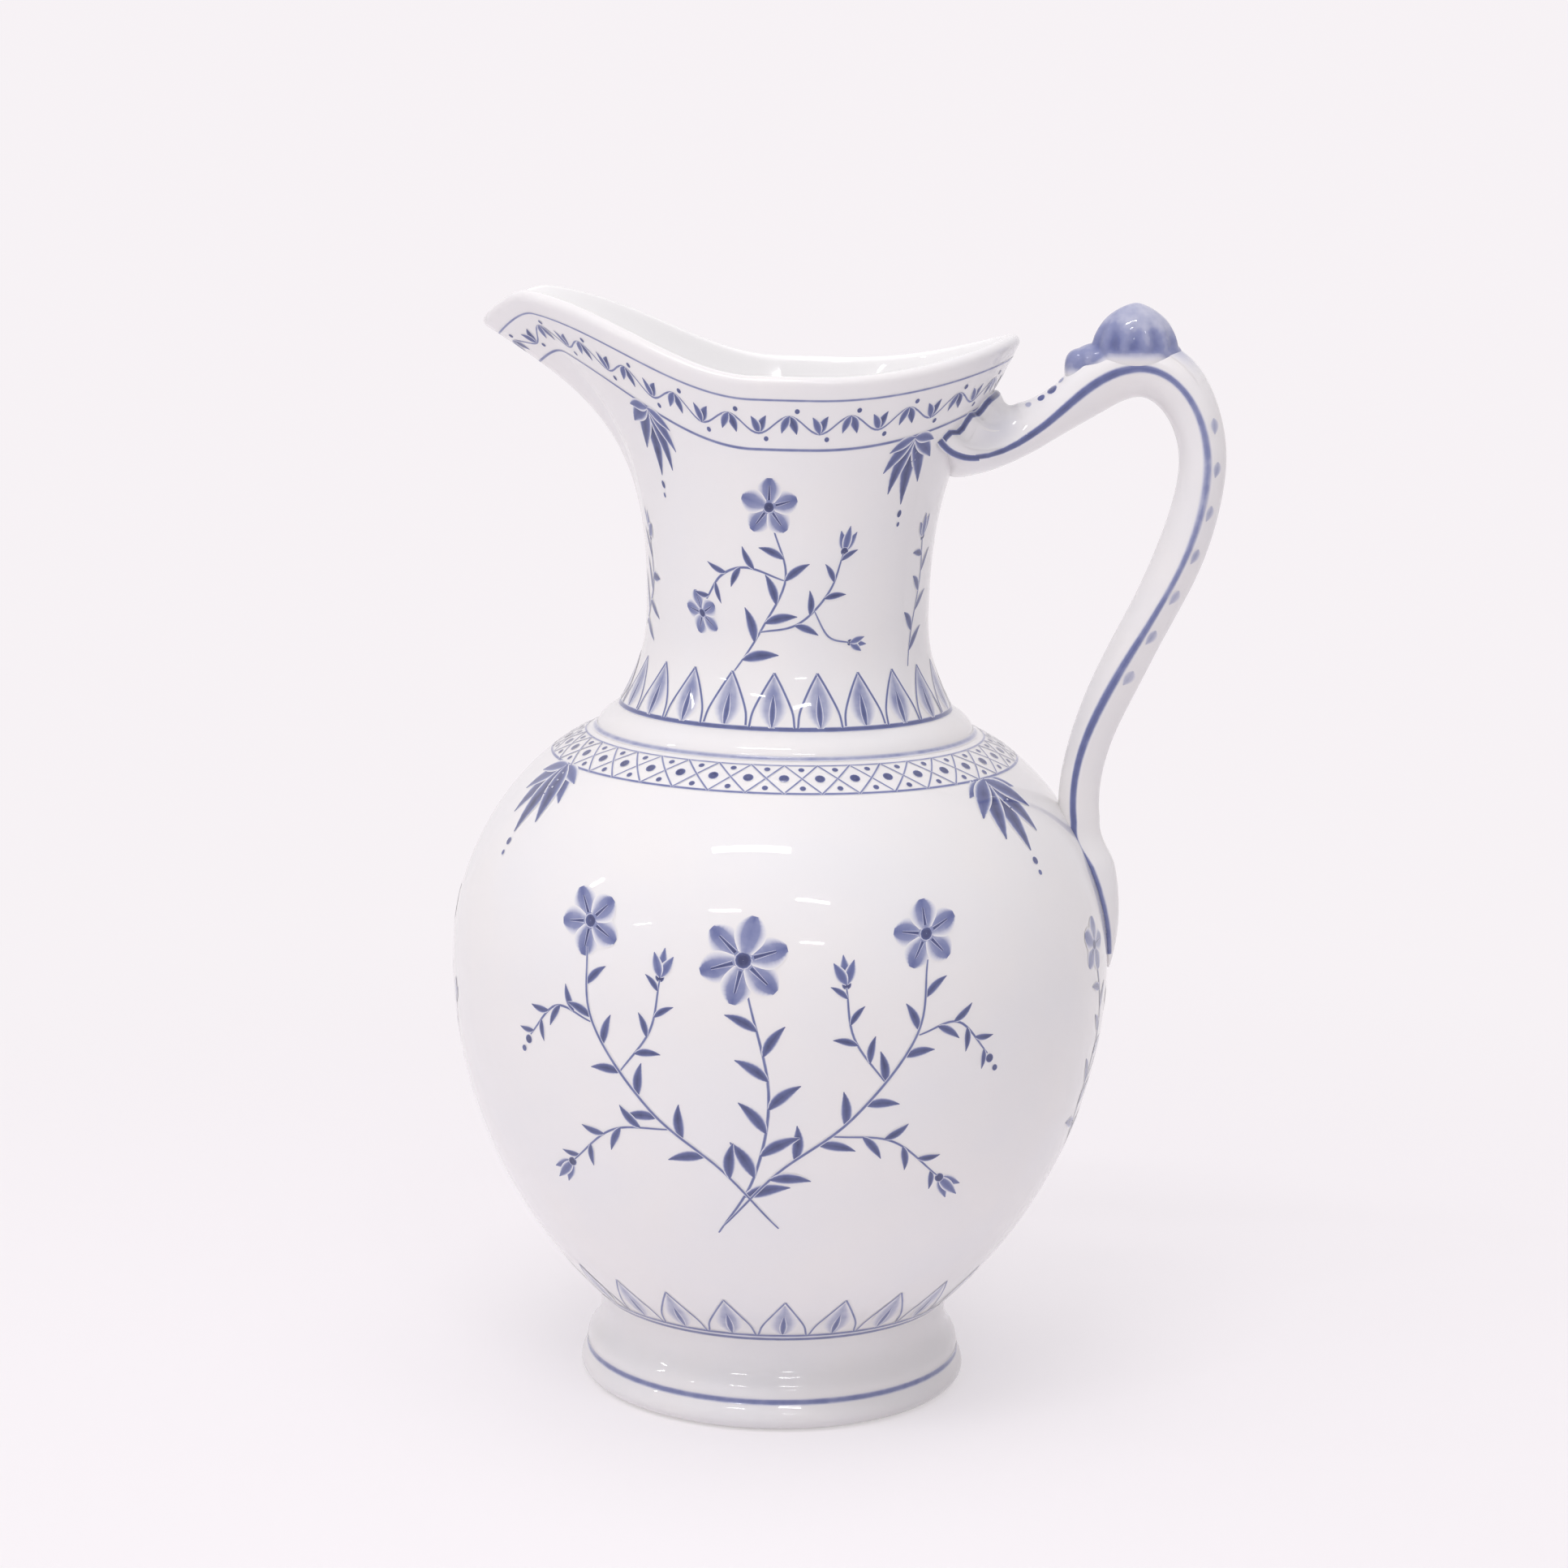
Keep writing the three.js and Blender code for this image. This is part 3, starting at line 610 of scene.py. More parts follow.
class Brush:
    """Lays strokes and dots on a surface and makes them one thin piece."""

    lift = 0.04 * MM
    lift_step = 0.004 * MM
    lift_turns = 12
    fade = np.array([-1.0, -0.5, 0.0, 0.5, 1.0])
    fade_depth = np.array([0.0, 0.8, 1.0, 0.8, 0.0])
    map_margin, map_depth, map_nudge = 0.02, 1.3, 0.0015

    def __init__(self):
        self.places, self.normals, self.depths = [], [], []
        self.faces, self.maps = [], []
        self.count = 0

    def grid(self, board, x, y, depth, closed=False):
        """Lays a net of points on a board; closed joins its last row to its first."""
        places, normals = board.at(x, y)
        rows, columns = x.shape
        depth = np.broadcast_to(depth, x.shape)
        index = np.arange(rows * columns).reshape(rows, columns)
        # On the map, u follows the depth, a little apart for each column, and v runs along the stroke
        inside = 1 - 2 * self.map_margin
        u = self.map_margin + inside * np.clip(depth / self.map_depth, 0, 1)
        u = u + self.map_nudge * np.arange(columns)
        if closed:
            index = np.vstack([index, index[:1]])
            u = np.vstack([u, u[:1]])
        v = np.broadcast_to(np.linspace(self.map_margin, 1 - self.map_margin, len(index))[:, None], u.shape)
        spots = np.stack([u, v], axis=-1)

        def corners(of):
            return np.stack([of[:-1, :-1], of[:-1, 1:], of[1:, 1:], of[1:, :-1]], axis=2)

        quads, maps = corners(index).reshape(-1, 4), corners(spots).reshape(-1, 4, 2)
        at = places.reshape(-1, 3)[quads]
        facing = np.cross(at[:, 2] - at[:, 0], at[:, 3] - at[:, 1])
        if np.sum(facing * normals.reshape(-1, 3)[quads[:, 0]]) < 0:
            quads, maps = quads[:, ::-1], maps[:, ::-1]
        raised = self.lift + self.lift_step * (len(self.faces) % self.lift_turns)
        self.faces.append(quads + self.count)
        self.maps.append(maps)
        self.places.append((places + normals * raised).reshape(-1, 3))
        self.normals.append(normals.reshape(-1, 3))
        self.depths.append(depth.reshape(-1))
        self.count += rows * columns

    def band(self, board, x, y, depth, closed=False):
        """A line given row by row from edge to edge; depth is a number or one value for each row."""
        x, y = np.broadcast_arrays(x, y)
        self.grid(board, x, y, np.broadcast_to(depth, len(x))[:, None] * self.fade_depth, closed)

    def stroke(self, board, path, half_width, depth):
        """A stroke along a path; half widths and depths are numbers or one value for each point."""
        path = np.asarray(path, float)
        ahead = np.gradient(path, axis=0)
        ahead /= np.maximum(np.linalg.norm(ahead, axis=1)[:, None], 1e-12)
        half = np.broadcast_to(half_width, len(path))[:, None] * self.fade
        self.band(board, path[:, :1] + ahead[:, 1:] * half, path[:, 1:] - ahead[:, :1] * half, depth)

    def dot(self, board, centre, radius, depth):
        """A round touch of the brush."""
        turn = np.linspace(0, 2 * math.pi, 13)[:-1]
        share = np.array([0.02, 0.45, 0.78, 1.0])
        x = centre[0] + radius * np.outer(np.cos(turn), share)
        y = centre[1] + radius * np.outer(np.sin(turn), share)
        self.grid(board, x, y, depth * np.array([0.92, 1.0, 0.85, 0.0]), closed=True)

    def piece(self, name):
        """Makes the painting one mesh with its depth on each point."""
        mesh = bpy.data.meshes.new(name)
        mesh.from_pydata(np.vstack(self.places).tolist(), [], np.vstack(self.faces).tolist())
        depth = mesh.attributes.new("depth", "FLOAT", "POINT")
        depth.data.foreach_set("value", np.concatenate(self.depths).astype(np.float32))
        shades = mesh.uv_layers.new(name="OFBake")
        shades.uv.foreach_set("vector", np.vstack(self.maps).astype(np.float32).ravel())
        mesh.polygons.foreach_set("use_smooth", np.ones(len(mesh.polygons), bool))
        mesh.normals_split_custom_set_from_vertices(np.vstack(self.normals).tolist())
        mesh.materials.append(blue_painting())
        piece = bpy.data.objects.new(name, mesh)
        bpy.context.scene.collection.objects.link(piece)
        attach(piece, BODY)


# Brush motifs, drawn on a board in millimetres

def curve_path(points, step=0.8):
    """A smooth line through a few points."""
    p = np.asarray(points, float)
    p = np.vstack([2 * p[0] - p[1], p, 2 * p[-1] - p[-2]])
    t = np.linspace(0, 1, 9)[:-1, None]
    runs = []
    for a, b, c, d in zip(p[:-3], p[1:-2], p[2:-1], p[3:]):
        square, cube = 2 * a - 5 * b + 4 * c - d, 3 * b - a - 3 * c + d
        runs.append(0.5 * (2 * b + (c - a) * t + square * t**2 + cube * t**3))
    return even(np.vstack([*runs, p[-2:-1]]), step)


def stem(brush, board, points, half_width=0.38, depth=0.55):
    """A thin stem that starts and ends in a finer point."""
    path = curve_path(points)
    t = np.linspace(0, 1, len(path))
    thin = 0.55 + 0.45 * np.sin(math.pi * t) ** 0.5
    brush.stroke(board, path, half_width * thin, depth)
    return path


def leaf(brush, board, foot, bearing, size, half_width, depth=0.8, bend=0.15):
    """One pressed brush stroke, pointed at its tip."""
    ahead = np.array([math.cos(bearing), math.sin(bearing)])
    side = np.array([-ahead[1], ahead[0]])
    middle = np.asarray(foot) + ahead * size * 0.5 + side * size * bend
    path = even(bezier([foot, middle, np.asarray(foot) + ahead * size], 16), max(size / 9, 0.5))
    t = np.linspace(0, 1, len(path))
    swell = np.sin(math.pi * np.clip(t, 0.02, 0.985) ** 0.8) ** 0.85
    pooled = depth * (0.72 + 0.28 * np.sin(2.4 * t + 0.4))
    brush.stroke(board, path, half_width * np.maximum(swell, 0.08), pooled)


def blossom(brush, board, centre, radius, turn=0.0, petals=5, depth=0.6):
    """An open flower: broad pale petals, each with a dark heart stroke, round a dark middle."""
    t = np.linspace(0, 1, 11)
    half = 0.725 * radius * math.sin(math.pi / petals) * np.sin(math.pi * (0.1 + 0.85 * t**1.15)) ** 0.7
    heart = slice(1, 8)
    for k in range(petals):
        bearing = turn + 2 * math.pi * k / petals
        ahead = np.array([math.cos(bearing), math.sin(bearing)])
        path = np.asarray(centre) + np.outer(0.16 + 0.84 * t, ahead) * radius
        brush.stroke(board, path, half, depth * (0.62 + 0.3 * t))
        brush.stroke(board, path[heart], radius * 0.055 * (1.2 - t[heart]), depth + 0.35)
    brush.dot(board, centre, radius * 0.2, 0.95)


def bud(brush, board, foot, bearing, size):
    """A closed flower of three small strokes in a dark cup."""
    for turn, share in ((-0.42, 0.85), (0.42, 0.85), (0.0, 1.0)):
        leaf(brush, board, foot, bearing + turn, size * share, size * 0.2, 0.62, 0.0)
    brush.dot(board, foot, size * 0.17, 0.95)


def leafy(brush, board, points, count, size, start=0.15, end=0.95, half_width=0.36):
    """A stem with leaves set by turns on its two sides, smaller towards its tip."""
    path = stem(brush, board, points, half_width)
    for k in range(count):
        share = blend_between(start, end, k / max(count - 1, 1))
        i = min(int(share * (len(path) - 1)), len(path) - 2)
        ahead = path[i + 1] - path[i]
        bearing = math.atan2(ahead[1], ahead[0])
        side = 1 if k % 2 else -1
        grown = size * (1.0 - 0.35 * share)
        leaf(brush, board, path[i], bearing + side * 0.85, grown, grown * 0.17, 0.85, -0.12 * side)


def fan(brush, board, at, leaves, dots):
    """Leaves spread downwards from one point, over a short row of dots."""
    for turn, size, wide, depth in leaves:
        for side in (1, -1) if turn else (0,):
            leaf(brush, board, (at, 0.0), side * turn - math.pi / 2, size, wide, depth, 0.08 * side)
    for drop, radius, depth in dots:
        brush.dot(board, (at, -drop), radius, depth)


def pointed_row(brush, surface, count, along, strokes, edge, edge_stroke):
    """A ring of upright pointed leaves: a pale wash and a vein between two edge lines."""
    for k in range(count):
        board = Patch(surface, (k + 0.5) * 2 * math.pi / count, along, 1.0, surface.radius)
        for foot, size, wide, depth in strokes:
            leaf(brush, board, (0.0, foot), math.pi / 2, size, wide, depth, 0.0)
        for side in (-1, 1):
            brush.stroke(board, curve_path([(side * x, y) for x, y in edge]), *edge_stroke)


def ring_line(brush, surface, along, half_width, depth):
    """A plain line round a turned part."""
    turn = np.linspace(0, 2 * math.pi, 241)[:-1]
    brush.band(surface, turn[:, None], along + half_width * Brush.fade, depth, closed=True)


# The stage

class JUG_OT_stage(bpy.types.Operator):
    """Lays the floor and backdrop, hangs the lamps and sets the camera"""

    bl_idname = "jug.stage"
    bl_label = "Stage"

    # Lamps: place from the jug's axis and size in metres, power in watts
    key = ((-0.70, -0.80, 1.55), (1.0, 1.0), 2.9)
    sky = ((0.12, -0.05, 1.7), (1.2, 1.2), 7.2)
    strips = (
        ((-0.20, -0.76, 1.5), (0.66, 0.08), 4.4),
        ((0.52, -1.62, 1.5), (0.44, 0.06), 2.9),
        ((-0.62, -1.95, 1.5), (0.44, 0.06), 2.9),
        ((-2.35, -0.70, 1.5), (0.44, 0.06), 2.9),
        ((-2.40, -2.25, 1.5), (0.44, 0.06), 2.9),
        ((0.9, -3.2, 1.5), (0.5, 0.12), 5.0),
    )
    lamp_colour = (1.0, 0.98, 0.99)

    # Room light: its colour, the side it leans to, and its strength away from that side and on it
    room_colour = (1.0, 0.972, 0.995, 1.0)
    room_toward = (-0.62, 0.08, 0.78)
    room_strength = (0.14, 0.71)

    # Floor: its side, its rise behind the jug, and the width and steps of the bow between, in metres
    sheet_side, sheet_rise = 8.0, 5.0
    bow_width, bow_steps = 2.0, 24

    # Floor paint: distances in metres between which its even white comes in, and its share at both
    fade_distance = (0.10, 0.50)
    fade_share = (0.58, 1.0)

    # Camera: lens in millimetres, place in metres, angles in degrees
    focal_length = 81.43
    away, high = 0.7983, 0.2884
    swing, look_down, roll = 4.5, 10.56, 1.22

    def execute(self, context):
        self.floor()
        self.room(context.scene)
        self.lamps(context.scene)
        self.camera(context.scene)
        context.scene.view_settings.view_transform = "Standard"
        return {"FINISHED"}

    def floor(self):
        """A sheet that lies flat under the jug and curves up behind it."""
        bpy.ops.object.select_all(action="DESELECT")
        bpy.ops.mesh.primitive_plane_add(size=self.sheet_side, location=(0, 0, -0.02 * MM))
        sheet = named("ground")
        bpy.ops.object.transform_apply(location=True)
        bpy.ops.object.mode_set(mode="EDIT")
        bpy.ops.mesh.select_all(action="DESELECT")
        bpy.ops.object.mode_set(mode="OBJECT")
        for edge in sheet.data.edges:
            edge.select = all(sheet.data.vertices[v].co.y > 1 for v in edge.vertices)
        bpy.ops.object.mode_set(mode="EDIT")
        bpy.ops.mesh.select_mode(type="EDGE")
        bpy.ops.mesh.extrude_region_move(TRANSFORM_OT_translate={"value": (0, 0, self.sheet_rise)})
        bpy.ops.object.mode_set(mode="OBJECT")
        bow = sheet.modifiers.new("bow", "BEVEL")
        bow.width, bow.segments, bow.limit_method = self.bow_width, self.bow_steps, "ANGLE"
        bpy.ops.object.modifier_apply(modifier="bow")
        bpy.ops.object.shade_smooth()
        sheet.data.materials.append(self.ground_paint())

    def ground_paint(self):
        """Matt white that keeps the jug's shadow near it and fades to an even white farther off."""
        material, tree, shader = new_finish("ground")
        shader.inputs["Roughness"].default_value = 1.0
        shader.inputs["Specular IOR Level"].default_value = 0.0
        shader.inputs["Base Color"].default_value = (*LOOKS.ground, 1.0)
        place = add_node(tree, "TexCoord").outputs["Object"]
        distance = add_node(tree, "VectorMath", {0: place}, operation="LENGTH").outputs["Value"]
        ends = (*self.fade_distance, *self.fade_share)
        fade = ranged(tree, distance, *ends, interpolation_type="SMOOTHSTEP")
        share = worked(tree, "MULTIPLY", fade, self.seen(tree))
        glow = add_node(tree, "Emission", {"Color": (*LOOKS.backdrop, 1.0)})
        self.mix_surface(tree, "Material Output", share, shader.outputs["BSDF"], glow.outputs["Emission"])
        return material

    def mix_surface(self, tree, out, share, first, second):
        """Gives a tree's output a mix of two shaders."""
        mix = add_node(tree, "MixShader", {0: share, 1: first, 2: second})
        tree.links.new(mix.outputs["Shader"], tree.nodes[out].inputs["Surface"])

    def seen(self, tree):
        """1 for what the camera sees, straight on or in the glaze, and 0 for the light on the jug."""
        path = add_node(tree, "LightPath").outputs
        seen = path["Is Camera Ray"]
        for ray in ("Is Glossy Ray", "Is Transmission Ray"):
            seen = worked(tree, "MAXIMUM", seen, path[ray])
        return seen

    def room(self, scene):
        """Even light from all round, stronger from high on the left, before a pale background."""
        world = scene.world or bpy.data.worlds.new("room")
        scene.world = world
        world.use_nodes = True
        tree = world.node_tree
        place = add_node(tree, "TexCoord").outputs["Generated"]
        toward = add_node(tree, "VectorMath", {0: place, 1: self.room_toward}, operation="DOT_PRODUCT")
        light = tree.nodes["Background"]
        light.inputs["Color"].default_value = self.room_colour
        strength = ranged(tree, toward.outputs["Value"], -1.0, 1.0, *self.room_strength)
        tree.links.new(strength, light.inputs["Strength"])
        pale = add_node(tree, "Background", {"Color": (*LOOKS.backdrop, 1.0)})
        shaders = (node.outputs["Background"] for node in (light, pale))
        self.mix_surface(tree, "World Output", self.seen(tree), *shaders)

    def lamps(self, scene):
        """A soft key from high on the left, a soft sky and strips that the glaze mirrors."""
        key = self.lamp(scene, "key", *self.key)
        middle = Vector((AXIS_X, 0, 0.12))
        key.rotation_euler = (middle - key.location).to_track_quat("-Z", "Y").to_euler()
        key.visible_glossy = False
        sky = self.lamp(scene, "sky", *self.sky)
        sky.visible_glossy = False
        for k, strip in enumerate(self.strips):
            self.lamp(scene, f"strip_{k}", *strip)

    def lamp(self, scene, name, spot, size, power):
        """A flat lamp at a spot measured from the jug's axis, facing down."""
        light = bpy.data.lights.new(name, "AREA")
        light.shape = "RECTANGLE"
        light.size, light.size_y, light.energy = size[0], size[1], power
        light.color = self.lamp_colour
        holder = bpy.data.objects.new(name, light)
        holder.location = (spot[0] + AXIS_X, spot[1], spot[2])
        scene.collection.objects.link(holder)
        return holder

    def camera(self, scene):
        """A long lens a little above the rim, turned a little towards the handle."""
        lens = bpy.data.cameras.new("camera")
        lens.sensor_width, lens.sensor_fit = 36.0, "HORIZONTAL"
        lens.lens = self.focal_length
        lens.clip_start, lens.clip_end = 0.01, 50.0
        holder = bpy.data.objects.new("camera", lens)
        swing = math.radians(self.swing)
        turn = (
            Matrix.Rotation(swing, 4, "Z")
            @ Matrix.Rotation(math.radians(90 - self.look_down), 4, "X")
            @ Matrix.Rotation(math.radians(self.roll), 4, "Z")
        )
        x, y = AXIS_X + self.away * math.sin(swing), -self.away * math.cos(swing)
        holder.matrix_world = Matrix.Translation((x, y, self.high)) @ turn
        scene.collection.objects.link(holder)
        scene.camera = holder


# The clay parts

# Depth of the belly's plug in the foot, and thickness of the belly's floor
PLUG_DEPTH = 8 * MM
FLOOR_THICKNESS = 5 * MM


class JUG_OT_foot(bpy.types.Operator):
    """Turns the hollow foot ring with its bare tread"""

    bl_idname = "jug.foot"
    bl_label = "Foot ring"

    def execute(self, context):
        s = SIZES
        outside = even(foot_outline(), 0.45 * MM)
        tread = outside[0]
        inner = tread[0] - s.tread_width
        step = FOOT_TOP_Z - PLUG_DEPTH
        hollow = bezier([(s.foot_bore, step), (inner - 2 * MM, s.foot_bead), (inner, 0)], 18)
        section = chain(
            np.array([(inner, 0), (inner + 0.3 * MM, 0), (tread[0] - 0.3 * MM, 0), tread]),
            outside,
            np.array([outside[-1], (s.foot_bore, FOOT_TOP_Z), (s.foot_bore, step)]),
            hollow,
        )
        piece = spun("foot_ring_glazed", section, s.segments)
        finish_piece(piece, "foot_ring", white_glaze())
        piece.data.materials.append(biscuit_and_contact_shadow())
        # Bare clay on the tread and round the bead's lower edge: a line that is partly the unglazed clay
        # and partly a painted contact shadow under the foot.
        for face in piece.data.polygons:
            r = math.hypot(face.center.x - AXIS_X, face.center.y)
            if face.center.z < 0.4 * MM and inner - 0.6 * MM < r < tread[0] + 2 * MM:
                face.material_index = 1
        return {"FINISHED"}


class JUG_OT_belly(bpy.types.Operator):
    """Turns the belly with its wall, its floor and the plug in the foot's bore"""

    bl_idname = "jug.belly"
    bl_label = "Belly"

    def execute(self, context):
        s = SIZES
        outline = belly_outline()
        outside = even(outline, 1.5 * MM)
        wall = even(outline + left_normals(outline) * s.belly_wall, 2.5 * MM)
        inside = wall[wall[:, 1] < SHOULDER_Z - s.belly_wall]
        plug = s.foot_bore - 0.1 * MM
        bottom = FOOT_TOP_Z - PLUG_DEPTH
        floor_z = bottom + FLOOR_THICKNESS
        heel = inside[0]
        bowl = bezier([heel, (heel[0] - (heel[1] - floor_z), floor_z), (0, floor_z)], 16)
        mouth = s.neck_base - s.neck_wall
        section = chain(
            np.array([(0, bottom), (plug * 0.5, bottom), (plug, bottom), (plug, FOOT_TOP_Z)]),
            outside,
            np.array([outside[-1], (mouth, SHOULDER_Z), (mouth, SHOULDER_Z - s.belly_wall)]),
            inside[::-1],
            bowl,
        )
        piece = spun("belly_glazed", section, s.segments)
        finish_piece(piece, "belly", white_glaze())
        return {"FINISHED"}


def collar_outline():
    """Outside of the collar: a soft slope from the shoulder up to the neck."""
    s = SIZES
    edge = np.array([s.shoulder_radius - 0.1 * MM, SHOULDER_Z + 0.5 * MM])
    ledge = np.array([s.neck_base, neck_ledge()])
    foot = bezier([edge + mm(1.2, -0.9), edge + mm(0.35, -0.55), edge], 8)
    slope = bezier([edge, edge + mm(-0.6, 1.9), ledge + mm(2.4, -0.9), ledge + mm(0, 0.05)], 22)
    return chain(foot, slope)


class JUG_OT_collar(bpy.types.Operator):
    """Turns the rounded collar between the belly and the neck"""

    bl_idname = "jug.collar"
    bl_label = "Collar"

    def execute(self, context):
        s = SIZES
        outside = collar_outline()
        bore = s.neck_base - 0.4 * MM
        heel = (bore, SHOULDER_Z - 0.4 * MM)
        section = chain(
            np.array([heel, outside[0]]), outside, np.array([outside[-1], (bore, outside[-1][1]), heel])
        )
        piece = spun("collar_ring_glazed", section, s.segments)
        finish_piece(piece, "collar_ring", white_glaze())
        return {"FINISHED"}


def neck_angles(count):
    """Directions round the axis, closer together at the spout."""
    turn = np.linspace(0, 2 * math.pi, count + 1)[:-1]
    return turn + 0.4 * np.sin(turn)


class JUG_OT_neck(bpy.types.Operator):
    """Draws up the neck and pulls its rim out into the spout"""

    bl_idname = "jug.neck"
    bl_label = "Neck and spout"

    def execute(self, context):
        s = SIZES
        angles = neck_angles(s.segments)
        outside = neck_outlines(angles, 16, 44)
        sections = []
        for outline in outside:
            inside = outline + left_normals(outline) * s.neck_wall
            inside[0] = (s.neck_base - s.neck_wall, neck_ledge())
            edge, inner = outline[-1], inside[-1]
            middle = (edge + inner) / 2
            across = edge - middle
            ahead = np.array([-across[1], across[0]])
            turn = np.linspace(0, math.pi, 11)[1:-1, None]
            lip = middle + across * np.cos(turn) + ahead * np.sin(turn)
            base = np.array([(s.neck_base, SHOULDER_Z)])
            low = np.array([(s.neck_base - s.neck_wall, SHOULDER_Z)])
            sections.append(np.vstack([base, outline, lip, inside[::-1], low]))
        rings = on_axis(np.array(sections).transpose(1, 0, 2), angles[None, :])
        piece = extruded("neck_spout_glazed", rings, closed=True)
        finish_piece(piece, "neck_spout", white_glaze())
        piece.data.materials.append(painted_light_inner_glaze())
        # The inside of the neck takes the whiter glaze, painted light standing in for the light that falls
        # into the mouth.
        for face in piece.data.polygons:
            out = Vector((face.center.x - AXIS_X, face.center.y, 0))
            if face.normal.dot(out.normalized()) < -0.15 and face.center.z > neck_ledge():
                face.material_index = 1
        return {"FINISHED"}


# The handle

# Points round a section, the ring at which the leaf ends, and the root's ends below the rim
HANDLE_SIDES = 64
ROOT_RING = 12
ROOT_TOP = 3.8 * MM
ROOT_BOTTOM = 22 * MM

# Lower tongue: height of its top, its length down the belly
TONGUE_TOP_Z = SHOULDER_Z - 19 * MM
TONGUE_LENGTH = 34.5 * MM

# Rounding of a section's halves between its two ridges: 1 is a plain oval
SECTION_ROUNDING = 1.4

# Along the handle: reach of its back and inside from the middle line, and rise of its ridges, in mm
BACK_REACH = (
    (0.0, 9.0), (0.06, 7.1), (0.13, 4.9), (0.165, 4.75), (0.2, 6.0), (0.3, 7.3), (0.39, 5.8), (0.47, 5.2),
    (0.6, 5.45), (0.7, 5.0), (0.78, 4.95), (0.88, 4.4), (1.0, 4.7),
)
INSIDE_REACH = (
    (0.0, 6.6), (0.045, 6.05), (0.1, 5.3), (0.2, 6.5), (0.28, 5.8), (0.4, 5.2), (0.55, 5.6), (0.66, 5.3),
    (0.78, 5.4), (0.92, 4.8), (1.0, 4.6),
)
RIDGE_RISE = (
    (0.0, -2.6), (0.1, -1.3), (0.2, 0.0), (0.3, 1.0), (0.45, 1.0), (0.6, 1.05), (0.68, 0.35), (0.78, -0.8),
    (0.9, -1.65), (1.0, -1.2),
)

# Along the handle: rounding of its back, low where it is full under the thumb rest
BACK_ROUNDING = ((0.0, 1.4), (0.12, 1.4), (0.18, 1.0), (0.22, 0.85), (0.32, 0.85), (0.4, 1.4), (1.0, 1.4))

# Edge of the upper leaf on the neck: degrees from the handle and mm below the rim, from its side tip
LEAF_TOP = ((28.0, 12.3), (26.4, 9.9), (20.4, 9.8), (18.4, 6.3), (13.2, 6.2), (9.6, 3.4), (0.0, 2.3))
LEAF_UNDER = ((28.0, 12.3), (22.0, 14.8), (12.0, 18.6), (0.0, 21.8))

# Radius of the neck, in mm, at which the degrees above are drawn
LEAF_RADIUS = 38


def handle_line():
    """Middle of the handle in the upright plane, from the neck over the arch to the belly."""
    s = SIZES
    top, bottom = s.rim_z - ROOT_TOP, s.rim_z - ROOT_BOTTOM
    rear = neck_outlines([0.0], 4, 80)[0]
    root = np.array([np.interp((top + bottom) / 2, rear[:, 1], rear[:, 0]), (top + bottom) / 2])
    arch = np.array([s.rear_reach + 26.6 * MM, root[1] + 15.8 * MM])
    back = np.array([s.rear_reach + 41.7 * MM, arch[1] - 21.3 * MM])
    end = np.array([belly_radius_at(TONGUE_TOP_Z) + 2.4 * MM, TONGUE_TOP_Z])
    rising = [
        root,
        (blend_between(root[0], arch[0], 0.44), root[1] - 3 * MM),
        (blend_between(arch[0], root[0], 0.37), arch[1]),
        arch,
    ]
    bending = [
        arch,
        (blend_between(arch[0], back[0], 0.56), arch[1]),
        (back[0], blend_between(back[1], arch[1], 0.52)),
        back,
    ]
    falling = [
        back,
        (back[0], blend_between(back[1], end[1], 0.31)),
        (end[0] - 3 * MM, blend_between(end[1], back[1], 0.31)),
        end,
    ]
    return even(chain(bezier(rising, 40), bezier(bending, 30), bezier(falling, 60)), 1.2 * MM)


def almond(count):
    """Half widths and rises of a section that draws to a soft ridge on each side."""
    turn = np.linspace(0, 2 * math.pi, count + 1)[:-1]
    return np.cos(turn), np.sign(np.sin(turn)) * np.abs(np.sin(turn)) ** SECTION_ROUNDING


def handle_rings():
    """Rings of the handle from its upper root to its lower tongue, and the way they run."""
    s = SIZES
    line = handle_line()
    ahead = np.gradient(line, axis=0)
    ahead /= np.linalg.norm(ahead, axis=1)[:, None]
    side, full = almond(HANDLE_SIDES)
    rings = []
    for here, along, t in zip(line, ahead, np.linspace(0, 1, len(line))):
        rise = np.where(full > 0, np.abs(full) ** (eased(t, BACK_ROUNDING) / SECTION_ROUNDING), full)
        back, inside, ridge = (eased(t, table) * MM for table in (BACK_REACH, INSIDE_REACH, RIDGE_RISE))
        half = s.handle_half_width * blend_between(1.0, 0.9, t)
        up = ridge + np.where(rise > 0, back - ridge, inside + ridge) * rise
        x = here[0] - along[1] * up
        z = here[1] + along[0] * up
        rings.append(np.column_stack([AXIS_X + x, half * side, z]))
    return np.array(rings), ahead


def tongue_rings(last):
    """Rings that carry the handle's end down the belly and thin out to a tip."""
    side, rise = almond(HANDLE_SIDES)
    levels = np.concatenate([np.linspace(0.04, 0.93, 26), [0.955, 0.975, 0.99]])
    rings = [last]
    for down in levels:
        z = TONGUE_TOP_Z - down * TONGUE_LENGTH
        half = blend_between(5.2, 6.3, math.sin(math.pi * min(down * 1.2, 1.0)) ** 0.8) * MM
        half *= math.sqrt(max(1 - down**4, 0.01))
        proud = blend_between(7.0, 0.7, down) * MM * math.sqrt(max(1 - down**8, 0.02))
        y = half * side
        base = np.sqrt(belly_radius_at(z) ** 2 - y**2)
        lift = np.where(rise > 0, proud * rise, 1.6 * MM * rise) + 0.25 * MM
        settle = smoothstep(down, 0.0, 0.3)
        free = np.column_stack([last[:, 0] - AXIS_X, last[:, 1]])
        flat = np.column_stack([base + lift, y])
        ring = free * (1 - settle) + flat * settle
        tilt = blend_between(last[:, 2] - last[:, 2].mean(), 0.0, settle)
        rings.append(np.column_stack([AXIS_X + ring[:, 0], ring[:, 1], z + tilt]))
    return np.array(rings)


